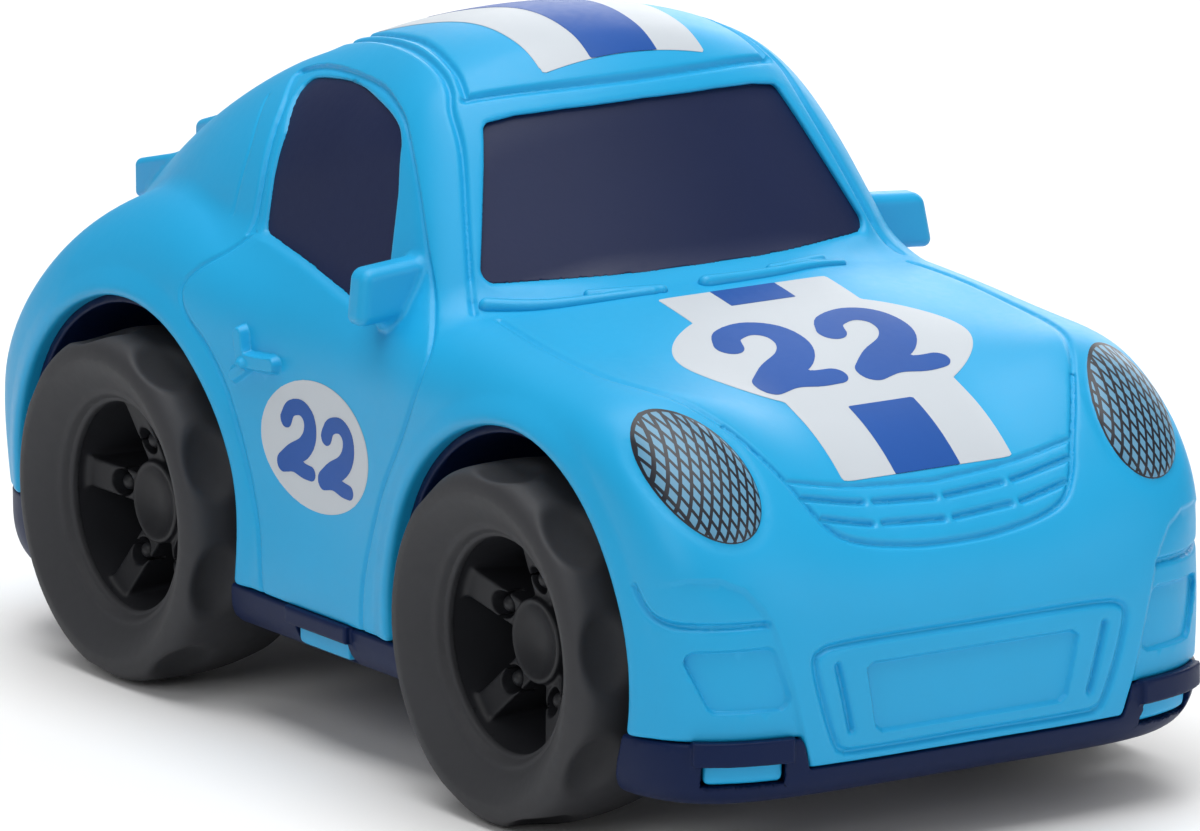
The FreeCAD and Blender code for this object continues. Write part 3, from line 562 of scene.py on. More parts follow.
BROW = drawn((64.6, 35.3, 31.4), (65.6, 35.0, 29.8), (67.0, 34.6, 28.5), (69.2, 33.5, 27.8),
             (72.0, 29.5, 27.7), (74.4, 25.3, 27.8))
BUMPER_FRAME = drawn((75.6, 0, 24.8), (75.3, 10, 24.8), (75.0, 16.6, 24.7), (74.8, 19.2, 24.3),
                     (74.7, 20.1, 22.9), (74.9, 18.9, 18.0), (75.0, 17.4, 13.9), (75.0, 16.4, 13.0),
                     (75.2, 14.2, 12.7), (75.6, 0, 12.7))
BUMPER_SLOT = drawn((74.9, 17.3, 22.4), (75.1, 15.5, 15.2))
REAR_FRAME = drawn((-75.9, 0, 33), (-75.6, 12, 33), (-75.2, 19, 32.6), (-75.0, 21, 30.6), (-75.1, 19.6, 23),
                   (-75.2, 17.6, 20.8), (-75.6, 12, 20.4), (-75.9, 0, 20.4))
LID_SEAM = drawn((-49.6, 0, 64), (-50.2, 12, 62.8), (-53.0, 15.4, 59.4), (-60.5, 17.4, 53.6),
                 (-67.0, 18.6, 50.0))

# Each line with the depth and half the width of its groove.
GROOVES = ([(DOOR_FRONT, 0.32, 0.3), (DOOR_REAR, 0.3, 0.3), (PILLAR_LINE, 0.12, 0.28),
            (OUTER_GUTTER, 0.45, 0.4), (INNER_GUTTER, 0.45, 0.4), (HEADER, 0.6, 0.5), (HOOD_SEAM, 0.3, 0.4),
            (GRILLE, 0.5, 0.36), (GRILLE_TOP, 0.36, 0.33), (BROW, 0.5, 0.38), (BUMPER_FRAME, 0.55, 0.4),
            (BUMPER_SLOT, 0.7, 0.42), (REAR_FRAME, 0.5, 0.4), (LID_SEAM, 0.36, 0.35)]
           + [(slot, 0.6, 0.38) for slot in SLOTS])
HANDLE = drawn((-15.8, 35.5, 44.3), (-15.0, 35.5, 42.1), (-13.7, 35.5, 41.6), (-9.3, 35.3, 41.9))
HANDLE_ROOT = drawn((-14.5, 35.6, 41.0), (-17.0, 35.9, 39.5))

# The door's window frame, seen from the side: it lies a step deeper than the roof beside it.
FRAME_AREA = DOOR_FRONT[DOOR_FRONT[:, 2] > 52.0][:, [0, 2]]

BROW_PANEL = np.array([(24.9, 27.4), (25.9, 29.4), (27.6, 31.5), (30.0, 32.7), (33.0, 32.8), (35.5, 31.9),
                       (46, 31.0), (46, 4), (19.4, 4), (20.1, 11), (21.6, 15.4), (23.5, 23.0)])
INTAKE_CORNER = 1.2
INTAKE_PANEL = np.array([(32.0, 23.8), (25.6, 24.0), (24.2, 19.5), (30.3, 19.5)])
BUMPER_PANEL = np.array([(-1, 22.3), (12.9, 22.3), (13.7, 21.7), (12.4, 15.1), (11.6, 14.5), (-1, 14.5)])

LAMP_CENTRE, LAMP_HALF, LAMP_TILT = (28.1, 42.5), (5.4, 6.15), 0.10
LAMP_HEIGHT = 0.8
TAIL_LAMP_CENTRE, TAIL_LAMP_HALF = (27.0, 38.0), (4.6, 3.2)


def lamp_radius(y, z):
    """1 on the edge of a head lamp, in the view from the front."""
    u, v = y - LAMP_CENTRE[0], z - LAMP_CENTRE[1]
    return np.hypot((u - LAMP_TILT * v) / LAMP_HALF[0], v / LAMP_HALF[1])


def sunk(path, y, z, depth, edge, corner=0.0):
    """Depth of a sunk panel, whose outline lies corner outside the path and is rounded by as much."""
    return depth * (1 - ramp(area_distance(path, y, z) - corner, -edge, edge))


def front_relief(x, y, z):
    """Sunk panels of the bumper and the domes of the lamps."""
    depth = sunk(BROW_PANEL, y, z, 0.45, 0.4) * (1 - ramp(y, 32.0, 36.0))
    depth += sunk(INTAKE_PANEL, y, z, 0.6, 0.25, INTAKE_CORNER)
    depth += sunk(BUMPER_PANEL, y, z, 0.6, 0.25)
    radius = lamp_radius(y, z)
    depth -= LAMP_HEIGHT * np.clip(1 - radius ** 2, 0, 1) ** 0.6
    return depth + groove((radius - 1.05) * 5.5, 0.22, 0.7)


def rear_relief(x, y, z):
    """Oval tail lamps."""
    radius = np.hypot((y - TAIL_LAMP_CENTRE[0]) / TAIL_LAMP_HALF[0],
                      (z - TAIL_LAMP_CENTRE[1]) / TAIL_LAMP_HALF[1])
    return groove((radius - 1.05) * 3.6, 0.3, 0.5) - 0.5 * np.clip(1 - radius ** 2, 0, 1) ** 0.6


def window_frame(x, y, z):
    """Step down into the door's window frame, fading out at the belt line."""
    return sunk(FRAME_AREA, x, z, 0.38, 0.3) * ramp(z, 52.0, 56.0)


def arch_lip(x, y, z):
    """Slight flare of the wheel arches."""
    beyond = np.hypot(np.abs(x) - AXLE_X, z - AXLE_Z) - ARCH_RADIUS
    return -0.45 * (1 - ramp(beyond, 0.8, 3.6)) * ramp(y, 28, 32)


def surface_relief(x, y, z, skin):
    """How far the skin is sunk (positive) or raised (negative) by its details."""
    y = np.abs(y)
    cut = np.zeros(x.shape)
    for path, depth, half_width in GROOVES:
        cut = np.maximum(cut, groove(line_distance(path, x, y, z, skin), depth, half_width))
    cut -= 1.1 * (1 - ramp(line_distance(HANDLE, x, y, z, skin), 0.65, 1.2))
    cut -= 0.6 * (1 - ramp(line_distance(HANDLE_ROOT, x, y, z, skin), 0.5, 1.1))
    cut += nearby((z > 51) & (x > -32) & (x < 20) & (y > 15), window_frame, x, y, z, 0.0)
    cut += nearby((x > 55) & (z < 52), front_relief, x, y, z, 0.0) * ramp(x, 56, 62)
    cut += nearby((x < -60) & (z < 44), rear_relief, x, y, z, 0.0)
    return cut + arch_lip(x, y, z)


def block(x, y, z, centre, half, edge):
    """Distance to a box with rounded edges."""
    q = np.stack([np.abs(v - c) - h + edge for v, c, h in zip((x, y, z), centre, half)])
    return np.linalg.norm(np.maximum(q, 0), axis=0) + np.minimum(q.max(0), 0) - edge


def mirror_housing(x, y, z):
    """Flag shaped mirror: its head leans in towards the top, with a sunk glass on its back."""
    y = np.abs(y)
    leaning = y + 0.16 * (z - 54)
    head = block(x + 0.08 * (z - 54), leaning, z - 0.08 * (34 - y), (11.0, 33.2, 53.7), (1.8, 4.3, 3.1), 1.2)
    glass = block(x, leaning, z, (8.9, 33.2, 53.8), (0.7, 3.1, 2.0), 0.6)
    foot = block(x, y, z, (10.6, 31.3, 51.4), (1.7, 3.2, 1.9), 1.2)
    return smin(smax(head, -glass, 0.3), foot, 0.8)


def wing(x, y, z):
    """Ducktail: a raised lid and the blade behind it."""
    y = np.abs(y)
    lid = block(x, y, z - 0.3 * (x + 58.8), (-58.8, 0, 53.2), (4.7, 13.4 + 0.14 * (x + 60), 6.0), 0.9)
    blade = block(x, y, z - 0.25 * (x + 68), (-67.6, 0, 50.9), (4.9, 15.7, 2.3), 0.8)
    return smin(lid, blade, 1.2)


def face(x, y, z):
    """Outer surface of the shell with all its details, before the openings."""
    bare = form(x, y, z)
    near = np.abs(bare) < 2.5
    skin = bare + nearby(near, lambda x, y, z: surface_relief(x, y, z, bare[near]), x, y, z, 0.0)
    skin = smin(skin, nearby((x > 5) & (x < 17) & (z > 44) & (z < 62) & (np.abs(y) > 22),
                             mirror_housing, x, y, z, 9.0), 0.8)
    return smin(skin, nearby((x < -48) & (z > 38), wing, x, y, z, 9.0), 1.0)


# ---------------------------------------------------------------- clips between shell and chassis

# Middle along x and half length of a side clip, then how far from the car's middle clips count as side ones.
SIDE_CLIP, SIDE_REACH = (1.3, 5.9), 16
# Place of the left front clip and the direction in which it runs.
FRONT_CLIP = ((72.6, 27.4), (-4.7, -10.3))
REAR_CLIP_Y, END_CLIP_HALF = 22.0, 5.0
BAR_LOW, BAR_HIGH = 12.5, 15.2
SLOT_LOW = 10.0
SIDE_LIFT = 1.1


def along_front(x, y):
    """Position along a front clip, from its middle."""
    (at_x, at_y), direction = FRONT_CLIP
    unit = np.array(direction) / math.hypot(*direction)
    return (x - at_x) * unit[0] + (np.abs(y) - at_y) * -unit[1]


def clip_lift(x):
    """How much higher the side clips sit than those at the front and rear."""
    return np.where(np.abs(x) < SIDE_REACH, SIDE_LIFT, 0.0)


def clip_span(x, y, width):
    """Negative inside the strip of a clip, side or front, width wider than its tab."""
    side = np.abs(x - SIDE_CLIP[0]) - SIDE_CLIP[1] - width
    front = np.maximum(np.abs(along_front(x, y)) - END_CLIP_HALF - width, 64 - x)
    rear = np.maximum(np.abs(np.abs(y) - REAR_CLIP_Y) - END_CLIP_HALF - width, x + 66)
    return np.minimum(np.where(np.abs(x) < SIDE_REACH, side, 9.0), np.minimum(front, rear))


# ---------------------------------------------------------------- body shell, windows and chassis

def shell_tabs(x, y, z):
    """Light blue tabs that reach down behind the chassis's clip bars."""
    skin = form(x, y, z)
    band = np.maximum(skin + 0.75, -(skin + 2.6))
    tab = smax(smax(band, clip_span(x, y, -0.7), 0.3), SLOT_LOW + clip_lift(x) + 0.15 - z, 0.9)
    return smax(tab, z - 18.0, 0.4)


def shell(x, y, z):
    """The whole moulded shell: skin, openings, tabs and hollow."""
    skin = form(x, y, z)
    body = smax(face(x, y, z), shell_seam(x, y) - z, 0.6)
    body = smax(body, -arch_distance(x, y, z), 0.9)
    body = smax(body, -glass_distance(x, y, z), 0.8)
    thick = WALL + 1.6 * ramp(np.abs(x), 52, 60)
    body = np.maximum(body, -(skin + thick))
    return np.minimum(body, shell_tabs(x, y, z))


def build_body_shell():
    low = (-HALF_LENGTH - 2, -1, 8)
    high = (HALF_LENGTH + 1, HALF_WIDTH + 3.5, ROOF_TOP + 2)
    piece = carve("body_shell_moulding", shell, low, high, 0.8, share=0.5, shortest=0.22, tolerance=0.012,
                  rounds=5)
    place(piece, "car_body", "body_plastic", BODY_PLASTIC, "body_shell")


def insert(x, y, z):
    """Window panes set into their openings, joined by a liner under the shell."""
    skin = form(x, y, z)
    gap = glass_distance(x, y, z)
    liner = np.maximum(np.maximum(skin + WALL + 0.15, -(skin + WALL + 1.3)), np.maximum(gap - 2.6, 49.0 - z))
    pane = np.maximum(np.maximum(gap - 0.2, skin + 0.75), -(skin + WALL + 1.3))
    return np.minimum(liner, pane)


def build_windows():
    low, high = (-52, -1, 46), (26, 33, ROOF_TOP)
    step = 0.7
    piece = carve("window_moulding", insert, low, high, step, shortest=0.25, tolerance=0.03, rounds=3)
    place(piece, "car_body", "window_plastic", WINDOW_PLASTIC, "window_insert")


def chassis(x, y, z):
    """Pan with rounded sills, wheel wells and the clip bars."""
    skin = form(x, y, np.maximum(z, 16.0)) + 0.1
    seam = shell_seam(x, y)
    floor_edge = 5.5 + 2.0 * ramp(np.abs(x), 60, 72)
    floor = FLOOR_HEIGHT + 3.0 * ramp(np.abs(y), 13, 26) * (1 - ramp(np.abs(x), 26, 50))
    pan = smax(smax(skin, floor - z, floor_edge), z - seam + 0.15, 0.5)
    tray = smax(skin + PAN_WALL, floor + FLOOR_WALL - z, floor_edge)
    lift = clip_lift(x)
    pan = np.maximum(pan, -tray)
    slots = np.maximum(clip_span(x, y, -0.4), np.maximum(z - BAR_LOW - lift, SLOT_LOW + lift - z))
    pan = np.maximum(pan, -np.maximum(slots, -(skin + 3.4)))
    bar = np.maximum(clip_span(x, y, 0.6), np.maximum(z - BAR_HIGH - 0.4 * lift, BAR_LOW + lift - z))
    bar = smax(bar, np.maximum(skin - 0.7, -(skin + 0.65)), 0.35)
    pan = smin(pan, bar, 0.3)
    radius = np.hypot(np.abs(x) - AXLE_X, z - AXLE_Z)
    wheel_room = smax(radius - (ARCH_RADIUS - 1.0), WELL_FACE - np.abs(y), 0.8)
    liner = smax(radius - (ARCH_RADIUS + 0.2), WELL_BACK - np.abs(y), 0.8)
    liner = smax(smax(liner, skin + 1.3, 0.4), seam - 2 - z, 0.2)
    tub_walls = smax(np.minimum(pan, liner), -wheel_room, 0.3)
    return smax(tub_walls, AXLE_HOLE - radius, 0.1)


def build_chassis():
    low, high = (-HALF_LENGTH - 2, -1, FLOOR_HEIGHT - 1), (HALF_LENGTH + 2, HALF_WIDTH + 3, 46)
    step = 0.8
    piece = carve("chassis_moulding", chassis, low, high, step, shortest=0.25, tolerance=0.03, rounds=3)
    place(piece, "car_body", "chassis_plastic", CHASSIS_PLASTIC, "chassis")


# ---------------------------------------------------------------- wheels, along y from the inner face

RIM_RADIUS = 12.35
BEAD_RADIUS = 11.95
SCALLOPS, SPOKES = 9, 5
SCALLOP_START = math.radians(3)
BARREL_FLOOR = 7.5
TREAD_MIDDLE, DISH_RADIUS = 11.0, 17.2
LIP_OFFSET = 14.4
CAP_RADIUS, CAP_FACE = 4.75, 10.9
BOLT_CIRCLE, BOLT_RADIUS, POCKET_RADIUS = 7.0, 0.95, 1.55
SPOKE_HALF = 1.75
AXLE_RADIUS = 1.5

# Angle of a spoke above +X at which each axle's wheels came to rest.
WHEEL_REST = {"front": math.radians(12), "rear": math.radians(28)}


def around(x, z, count, start=0.0):
    """Polar coordinates folded into one of count equal sectors: radius and sideways distance."""
    radius, angle = np.hypot(x, z), np.arctan2(z, x) - start
    sector = 2 * math.pi / count
    angle = (angle + sector / 2) % sector - sector / 2
    return radius * np.cos(angle), radius * np.sin(angle)


def tyre(x, y, z):
    """Soft tyre: flat crown, scalloped shoulder, dished side wall and a bead over the rim's lip."""
    radius = np.hypot(x, z)
    crown = radius - TYRE_RADIUS + 0.016 * (y - TREAD_MIDDLE) ** 2 * np.where(y > TREAD_MIDDLE, 0.5, 1.0)
    dish = 3.3 * np.clip((DISH_RADIUS - radius) / 4.8, 0, 1) ** 1.4
    bead = 0.35 * np.exp(-((radius - 12.9) / 0.45) ** 2)
    outer = (y - TYRE_WIDTH + dish - bead) / (1 + 0.15 * (radius < DISH_RADIUS))
    body = smax(smax(crown, outer, 2.6), -y, 2.0)
    out, across = around(x, z, SCALLOPS, SCALLOP_START)
    scallop = np.sqrt(((out - TYRE_RADIUS - 1.2) / 2.9) ** 2 + ((y - TYRE_WIDTH + 3.4) / 3.9) ** 2
                      + (across / 5.6) ** 2)
    body = smax(body, (1 - scallop) * 2.7, 0.6)
    bore = RIM_RADIUS - (RIM_RADIUS - BEAD_RADIUS) * ramp(y, 13.4, 13.8)
    return smax(body, bore - radius, 0.4)


def hub(x, y, z):
    """Deep rim with five spokes that rise outwards, a ring-shaped cap and a domed bolt in each spoke."""
    radius = np.hypot(x, z)
    barrel = smax(radius - (RIM_RADIUS + 0.3), np.abs(y - LIP_OFFSET / 2 - 0.3) - LIP_OFFSET / 2 + 0.3, 0.4)
    inner = radius - (11.5 + 0.09 * (y - BARREL_FLOOR))
    out, across = around(x, z, SPOKES)
    centre = np.hypot(out - BOLT_CIRCLE, across)
    spoke = smax(np.abs(across) - SPOKE_HALF, np.maximum(y - 10.2 - 0.34 * (out - 5), 5.4 - y), 0.35)
    spoke = smax(spoke, -out, 0.3)
    spoke = smax(spoke, -np.maximum(centre - POCKET_RADIUS, 8.6 - y), 0.25)
    well = smax(inner, BARREL_FLOOR - 4.6 - y, 0.6)
    body = smax(barrel, -well, 0.5)
    body = smin(body, smax(spoke, radius - 12.0, 0.2), 0.7)
    cap = smax(radius - CAP_RADIUS, np.abs(y - CAP_FACE + 4.3) - 4.3, 0.35)
    dish = np.hypot(radius, y - CAP_FACE - 6.0) - 7.32
    body = smin(body, smax(cap, -dish, 0.2), 0.5)
    bolt = np.sqrt(centre ** 2 + (y - np.clip(y, 8.0, 9.7)) ** 2) - BOLT_RADIUS
    body = smin(body, bolt, 0.12)
    axle_bore = np.maximum(radius - AXLE_RADIUS, y - 8.6)
    return np.maximum(body, -axle_bore)


def build_wheels():
    step = 0.65
    reach = TYRE_RADIUS + 1
    tyre_piece = carve("tyre_pattern", tyre, (-reach, -1, -reach), (reach, TYRE_WIDTH + 1, reach), step,
                       mirrored=False, shortest=0.3, tolerance=0.015, rounds=3)
    hub_piece = carve("hub_pattern", hub, (-14, -1, -14), (14, LIP_OFFSET + 1, 14), step * 0.8,
                      mirrored=False, shortest=0.2, tolerance=0.015, rounds=3)
    for pattern, part, slot, material in ((tyre_piece, "tyre", "tyre_rubber", TYRE_RUBBER),
                                          (hub_piece, "hub", "hub_plastic", HUB_PLASTIC)):
        for end, x in (("front", AXLE_X), ("rear", -AXLE_X)):
            rest = WHEEL_REST[end]
            sides = (("left", 1, 0.0, rest), ("right", -1, math.pi, rest - math.pi))
            for side, direction, flip, turn in sides:
                mesh = pattern.data.copy()
                seat = Matrix.Translation((x * MM, direction * TYRE_INNER_FACE * MM, AXLE_Z * MM))
                mesh.transform(seat @ Matrix.Rotation(flip, 4, "Z") @ Matrix.Rotation(turn, 4, "Y"))
                piece = bpy.data.objects.new(f"{part}_moulding_{end}_{side}", mesh)
                bpy.context.scene.collection.objects.link(piece)
                place(piece, f"{end}_wheels", slot, material, f"{part}_{end}_{side}")
        bpy.data.objects.remove(pattern)


# ---------------------------------------------------------------- wipers

def wiper(points, arm):
    """A moulded wiper: a blade that thins out from its first point, and the short arm that meets it."""
    blade = settle(form, smooth_path(points, per_span=4), rounds=6, reach=1.0)
    arm = settle(form, smooth_path(arm, per_span=4), rounds=6, reach=1.0)
    start, end = blade[0, 1], blade[-1, 1]

    def field(x, y, z):
        share = np.clip((y - start) / (end - start), 0, 1)
        bar = line_distance(blade, x, y, z, reach=3.0) - (0.95 - 0.4 * share)
        link = line_distance(arm, x, y, z, reach=3.0) - 0.7
        return smin(bar, link, 0.4)

    return field


def build_wipers():
    shapes = {
        "right": (((20.4, -26.3, 52.8), (24.4, -20.8, 53.3), (27.6, -14.8, 53.9), (29.0, -10.2, 54.0)),
                  ((25.4, -16.2, 54.0), (27.4, -12.9, 54.2), (28.9, -9.0, 54.0))),
        "left": (((28.6, -3.0, 54.0), (28.6, 4.6, 54.0), (28.0, 10.0, 53.9), (26.4, 16.4, 53.5)),
                 ((27.4, 6.4, 54.1), (26.9, 10.0, 54.2), (25.6, 14.0, 54.0)))}
    for side, (points, arm) in shapes.items():
        ends = np.array(points + arm)
        piece = carve(f"wiper_{side}", wiper(points, arm), ends.min(0) - 2.4, ends.max(0) + 2.4, 0.35,
                      mirrored=False, rounds=0)
        place(piece, "car_body", "body_plastic", BODY_PLASTIC)


# ---------------------------------------------------------------- printed markings

# How far under the shell's face the back of a print lies.
PRINT_ROOT = 0.12


def cut_sheet(field, low, high, step):
    """Flat triangles that fill field < 0 in the (u, v) plane, cut off at its edge."""
    u, v = (np.arange(a, b + step, step) for a, b in zip(low, high))
    grid = np.stack(np.meshgrid(u, v, indexing="ij"), -1).reshape(-1, 2)
    value = field(*grid.T)
    value = np.where(np.abs(value) < 0.06 * step, -0.06 * step, value)
    index = np.arange(len(grid)).reshape(len(u), len(v))
    a, b = index[:-1, :-1].ravel(), index[1:, :-1].ravel()
    c, d = index[1:, 1:].ravel(), index[:-1, 1:].ravel()
    tris = np.concatenate([columns(a, b, c), columns(a, c, d)])
    inside = value < 0
    tris = tris[inside[tris].any(1)]
    edges = edges_of(tris)
    crossed = inside[edges[:, 0]] != inside[edges[:, 1]]
    keys, back = np.unique(edges.min(1) * len(grid) + edges.max(1), return_inverse=True)
    cut = np.zeros(len(keys), bool)
    cut[back[crossed]] = True
    first, second = keys // len(grid), keys % len(grid)
    share = value[first] / np.where(cut, value[first] - value[second], 1.0)
    number = np.where(cut, len(grid) + np.cumsum(cut) - 1, -1)
    points = np.concatenate([grid, (grid[first] + share[:, None] * (grid[second] - grid[first]))[cut]])
    marks = per_triangle(number, back)
    held = inside[tris].sum(1)
    pieces = [tris[held == 3]]
    for turn in range(3):
        t, e = np.roll(tris, -turn, axis=1), np.roll(marks, -turn, axis=1)
        one = (held == 1) & inside[t[:, 0]]
        pieces.append(columns(t[one, 0], e[one, 0], e[one, 2]))
        two = (held == 2) & ~inside[t[:, 0]]
        pieces.append(columns(e[two, 0], t[two, 1], t[two, 2]))
        pieces.append(columns(e[two, 0], t[two, 2], e[two, 2]))
    tris = np.concatenate(pieces)
    used = np.unique(tris)
    fresh = np.full(len(points), -1)
    fresh[used] = np.arange(len(used))
    return points[used], fresh[tris]


def strike(start, direction, reach):
    """Where rays from start first meet the shell's face."""
    steps = np.linspace(0, reach, 90)
    near = np.zeros(len(start))
    found = np.zeros(len(start), bool)
    for before, after in zip(steps[:-1], steps[1:]):
        p = start + direction * after
        hit = ~found & (face(*p.T) < 0)
        near[hit] = before
        found |= hit
    low, high = near, near + steps[1]
    for _ in range(12):
        middle = (low + high) / 2
        inside = face(*(start + direction * middle[:, None]).T) < 0
        low, high = np.where(inside, low, middle), np.where(inside, middle, high)
    return start + direction * high[:, None]


def printed(name, field, low, high, to_space, direction, reach, lift, material, step):
    """A thin printed patch on the shell: a closed sheet from just inside it to lift above it."""
    flat, tris = cut_sheet(field, low, high, step)
    p = strike(to_space(flat), np.array(direction, float), reach)
    g = slope(face, p, 0.05)
    n = g / np.linalg.norm(g, axis=1, keepdims=True)
    a, b, c = (p[tris[:, k]] for k in range(3))
    if (np.cross(b - a, c - a) * n[tris[:, 0]]).sum() < 0:
        tris = tris[:, ::-1]
    edges = edges_of(tris)
    keys, counts = np.unique(np.sort(edges, 1), axis=0, return_counts=True)
    rim = {tuple(k) for k in keys[counts == 1]}
    rim = np.array([e for e in edges if tuple(sorted(e)) in rim])
    count = len(p)
    walls = np.concatenate([columns(rim[:, 1], rim[:, 0], rim[:, 0] + count),
                            columns(rim[:, 1], rim[:, 0] + count, rim[:, 1] + count)])
    piece = new_mesh(name, np.concatenate([p + n * lift, p - n * PRINT_ROOT]),
                     np.concatenate([tris, tris[:, ::-1] + count, walls]), np.concatenate([n, -n]))
    place(piece, "car_body", "body_plastic", material)


def brush(path, u, v):
    """Signed distance to a stroke whose points are (u, v, half width)."""
    best = np.full(u.shape, 1e9)
    for (ax, ay, ar), (bx, by, br) in zip(path[:-1], path[1:]):
        dx, dy = bx - ax, by - ay
        t = np.clip(((u - ax) * dx + (v - ay) * dy) / (dx * dx + dy * dy + 1e-12), 0, 1)
        best = np.minimum(best, np.hypot(u - ax - t * dx, v - ay - t * dy) - (ar + (br - ar) * t))
    return best


TWO_BOW = smooth_path([(-3.9, 2.9, 1.7), (-2.7, 5.1, 1.55), (0.5, 6.1, 1.5), (3.1, 4.6, 1.75),
                       (3.6, 1.6, 2.0), (1.9, -1.2, 2.1), (-1.6, -3.4, 2.05), (-4.3, -5.5, 1.8)], per_span=5)
TWO_FOOT = smooth_path([(-4.3, -5.6, 1.8), (-1.2, -5.0, 1.6), (2.0, -5.5, 1.5), (4.4, -5.5, 1.4)], per_span=5)


def digit_two(u, v):
    """A plump 2, about 11.6 wide and 15 high, centred on 0, 0."""
    return np.minimum(brush(TWO_BOW, u, v), brush(TWO_FOOT, u, v))


def twenty_two(u, v, spread):
    return np.minimum(digit_two(u + spread / 2, v), digit_two(u - spread / 2, v))


def oval(u, v, half_u, half_v):
    radius = np.hypot(u / half_u, v / half_v)
    steep = np.hypot(u / half_u ** 2, v / half_v ** 2) / np.maximum(radius, 1e-6)
    return (radius - 1) / np.maximum(steep, 1e-6)


WHITE_HALF, BLUE_HALF = 11.0, 4.2
ROOF_WHITE_HALF, ROOF_BLUE_HALF = 10.7, 4.35
# Middle and half length along x of the two parts of the hood's blue stripe.
HOOD_BLUE_PARTS = ((33.35, 2.15), (62.9, 4.6))
HOOD_FROM, HOOD_TO = 31.2, 67.5
HOOD_OVAL = (47.2, 0.0)
ROOF_FROM, ROOF_TO = 7.6, -26.6
SIDE_OVAL = (-0.5, 34.2)


def hood_white(x, y):
    lengthwise = np.abs(x - (HOOD_FROM + HOOD_TO) / 2) - (HOOD_TO - HOOD_FROM) / 2
    stripe = np.maximum(np.abs(y) - WHITE_HALF, lengthwise)
    return np.minimum(stripe, oval(x - HOOD_OVAL[0], y - HOOD_OVAL[1], 11.3, 18.2))


def hood_blue(x, y):
    best = twenty_two(y - 0.1, HOOD_OVAL[0] + 0.2 - x, 13.4)
    for middle, half in HOOD_BLUE_PARTS:
        best = np.minimum(best, np.maximum(np.abs(y) - BLUE_HALF, np.abs(x - middle) - half))
    return best


def roof_stripe(half):
    return lambda x, y: np.maximum(np.abs(y) - half, np.abs(x - (ROOF_FROM + ROOF_TO) / 2)
                                   - (ROOF_FROM - ROOF_TO) / 2)


def side_white(x, z):
    return oval(x - SIDE_OVAL[0], z - SIDE_OVAL[1], 11.4, 7.3)


def side_blue(reading):
    """The number on a door; reading is 1 where +x is to the reader's right."""
    def field(x, z):
        u, v = (x - SIDE_OVAL[0] - 0.2) * reading, z - SIDE_OVAL[1] + 0.05
        turned_u, turned_v = u - 0.06 * v, v + 0.06 * u
        return 0.62 * twenty_two(turned_u / 0.66, turned_v / 0.60, 12.8)
    return field


def lamp_print(side):
    return lambda y, z: (lamp_radius(y * side, z) - 1.0) * 5.4


ABOVE, BESIDE, AHEAD = 84.0, 42.0, 82.0
WHITE_LIFT, BLUE_LIFT = 0.05, 0.09


def print_from_above(name, field, low, high, lift, material, step):
    """Lay a print on the hood or the roof."""
    printed(name, field, low, high, lambda flat: np.column_stack([flat, np.full(len(flat), ABOVE)]),
            (0, 0, -1), 55, lift, material, step)


def print_on_door(name, sign, field, low, high, lift, material, step):
    """Lay a print on one door; sign is 1 on the left."""
    printed(name, field, low, high,
            lambda flat: np.column_stack([flat[:, 0], np.full(len(flat), BESIDE * sign), flat[:, 1]]),
            (0, -sign, 0), 20, lift, material, step)


def build_prints():
    step = 0.4
    print_from_above("hood_print_white", hood_white, (30, -20), (69, 20), WHITE_LIFT, PRINT_WHITE, step)
    print_from_above("hood_print_blue", hood_blue, (30, -15), (69, 15), BLUE_LIFT, PRINT_BLUE, step * 0.8)
    print_from_above("roof_print_white", roof_stripe(ROOF_WHITE_HALF), (-28, -12), (10, 12), WHITE_LIFT,
                     PRINT_WHITE, step * 1.5)
    print_from_above("roof_print_blue", roof_stripe(ROOF_BLUE_HALF), (-28, -6), (10, 6), BLUE_LIFT,
                     PRINT_BLUE, step * 1.5)
    for side, sign in (("left", 1), ("right", -1)):
        print_on_door(f"door_print_white_{side}", sign, side_white, (-13, 26), (12, 43), WHITE_LIFT,
                      PRINT_WHITE, step)
        print_on_door(f"door_print_blue_{side}", sign, side_blue(-sign), (-12, 27), (12, 42), BLUE_LIFT,
                      PRINT_BLUE, step * 0.7)
        inner, outer = sorted((sign * 21.5, sign * 34.5))
        printed(f"lamp_print_{side}", lamp_print(sign), (inner, 35.5), (outer, 49.5),
                lambda flat: np.column_stack([np.full(len(flat), AHEAD), flat]), (-1, 0, 0),
                40, WHITE_LIFT, LAMP_PRINT, step)


# ---------------------------------------------------------------- materials

def srgb(red, green, blue):
    return tuple(v / 12.92 if v <= 0.04045 else ((v + 0.055) / 1.055) ** 2.4
                 for v in (c / 255 for c in (red, green, blue)))


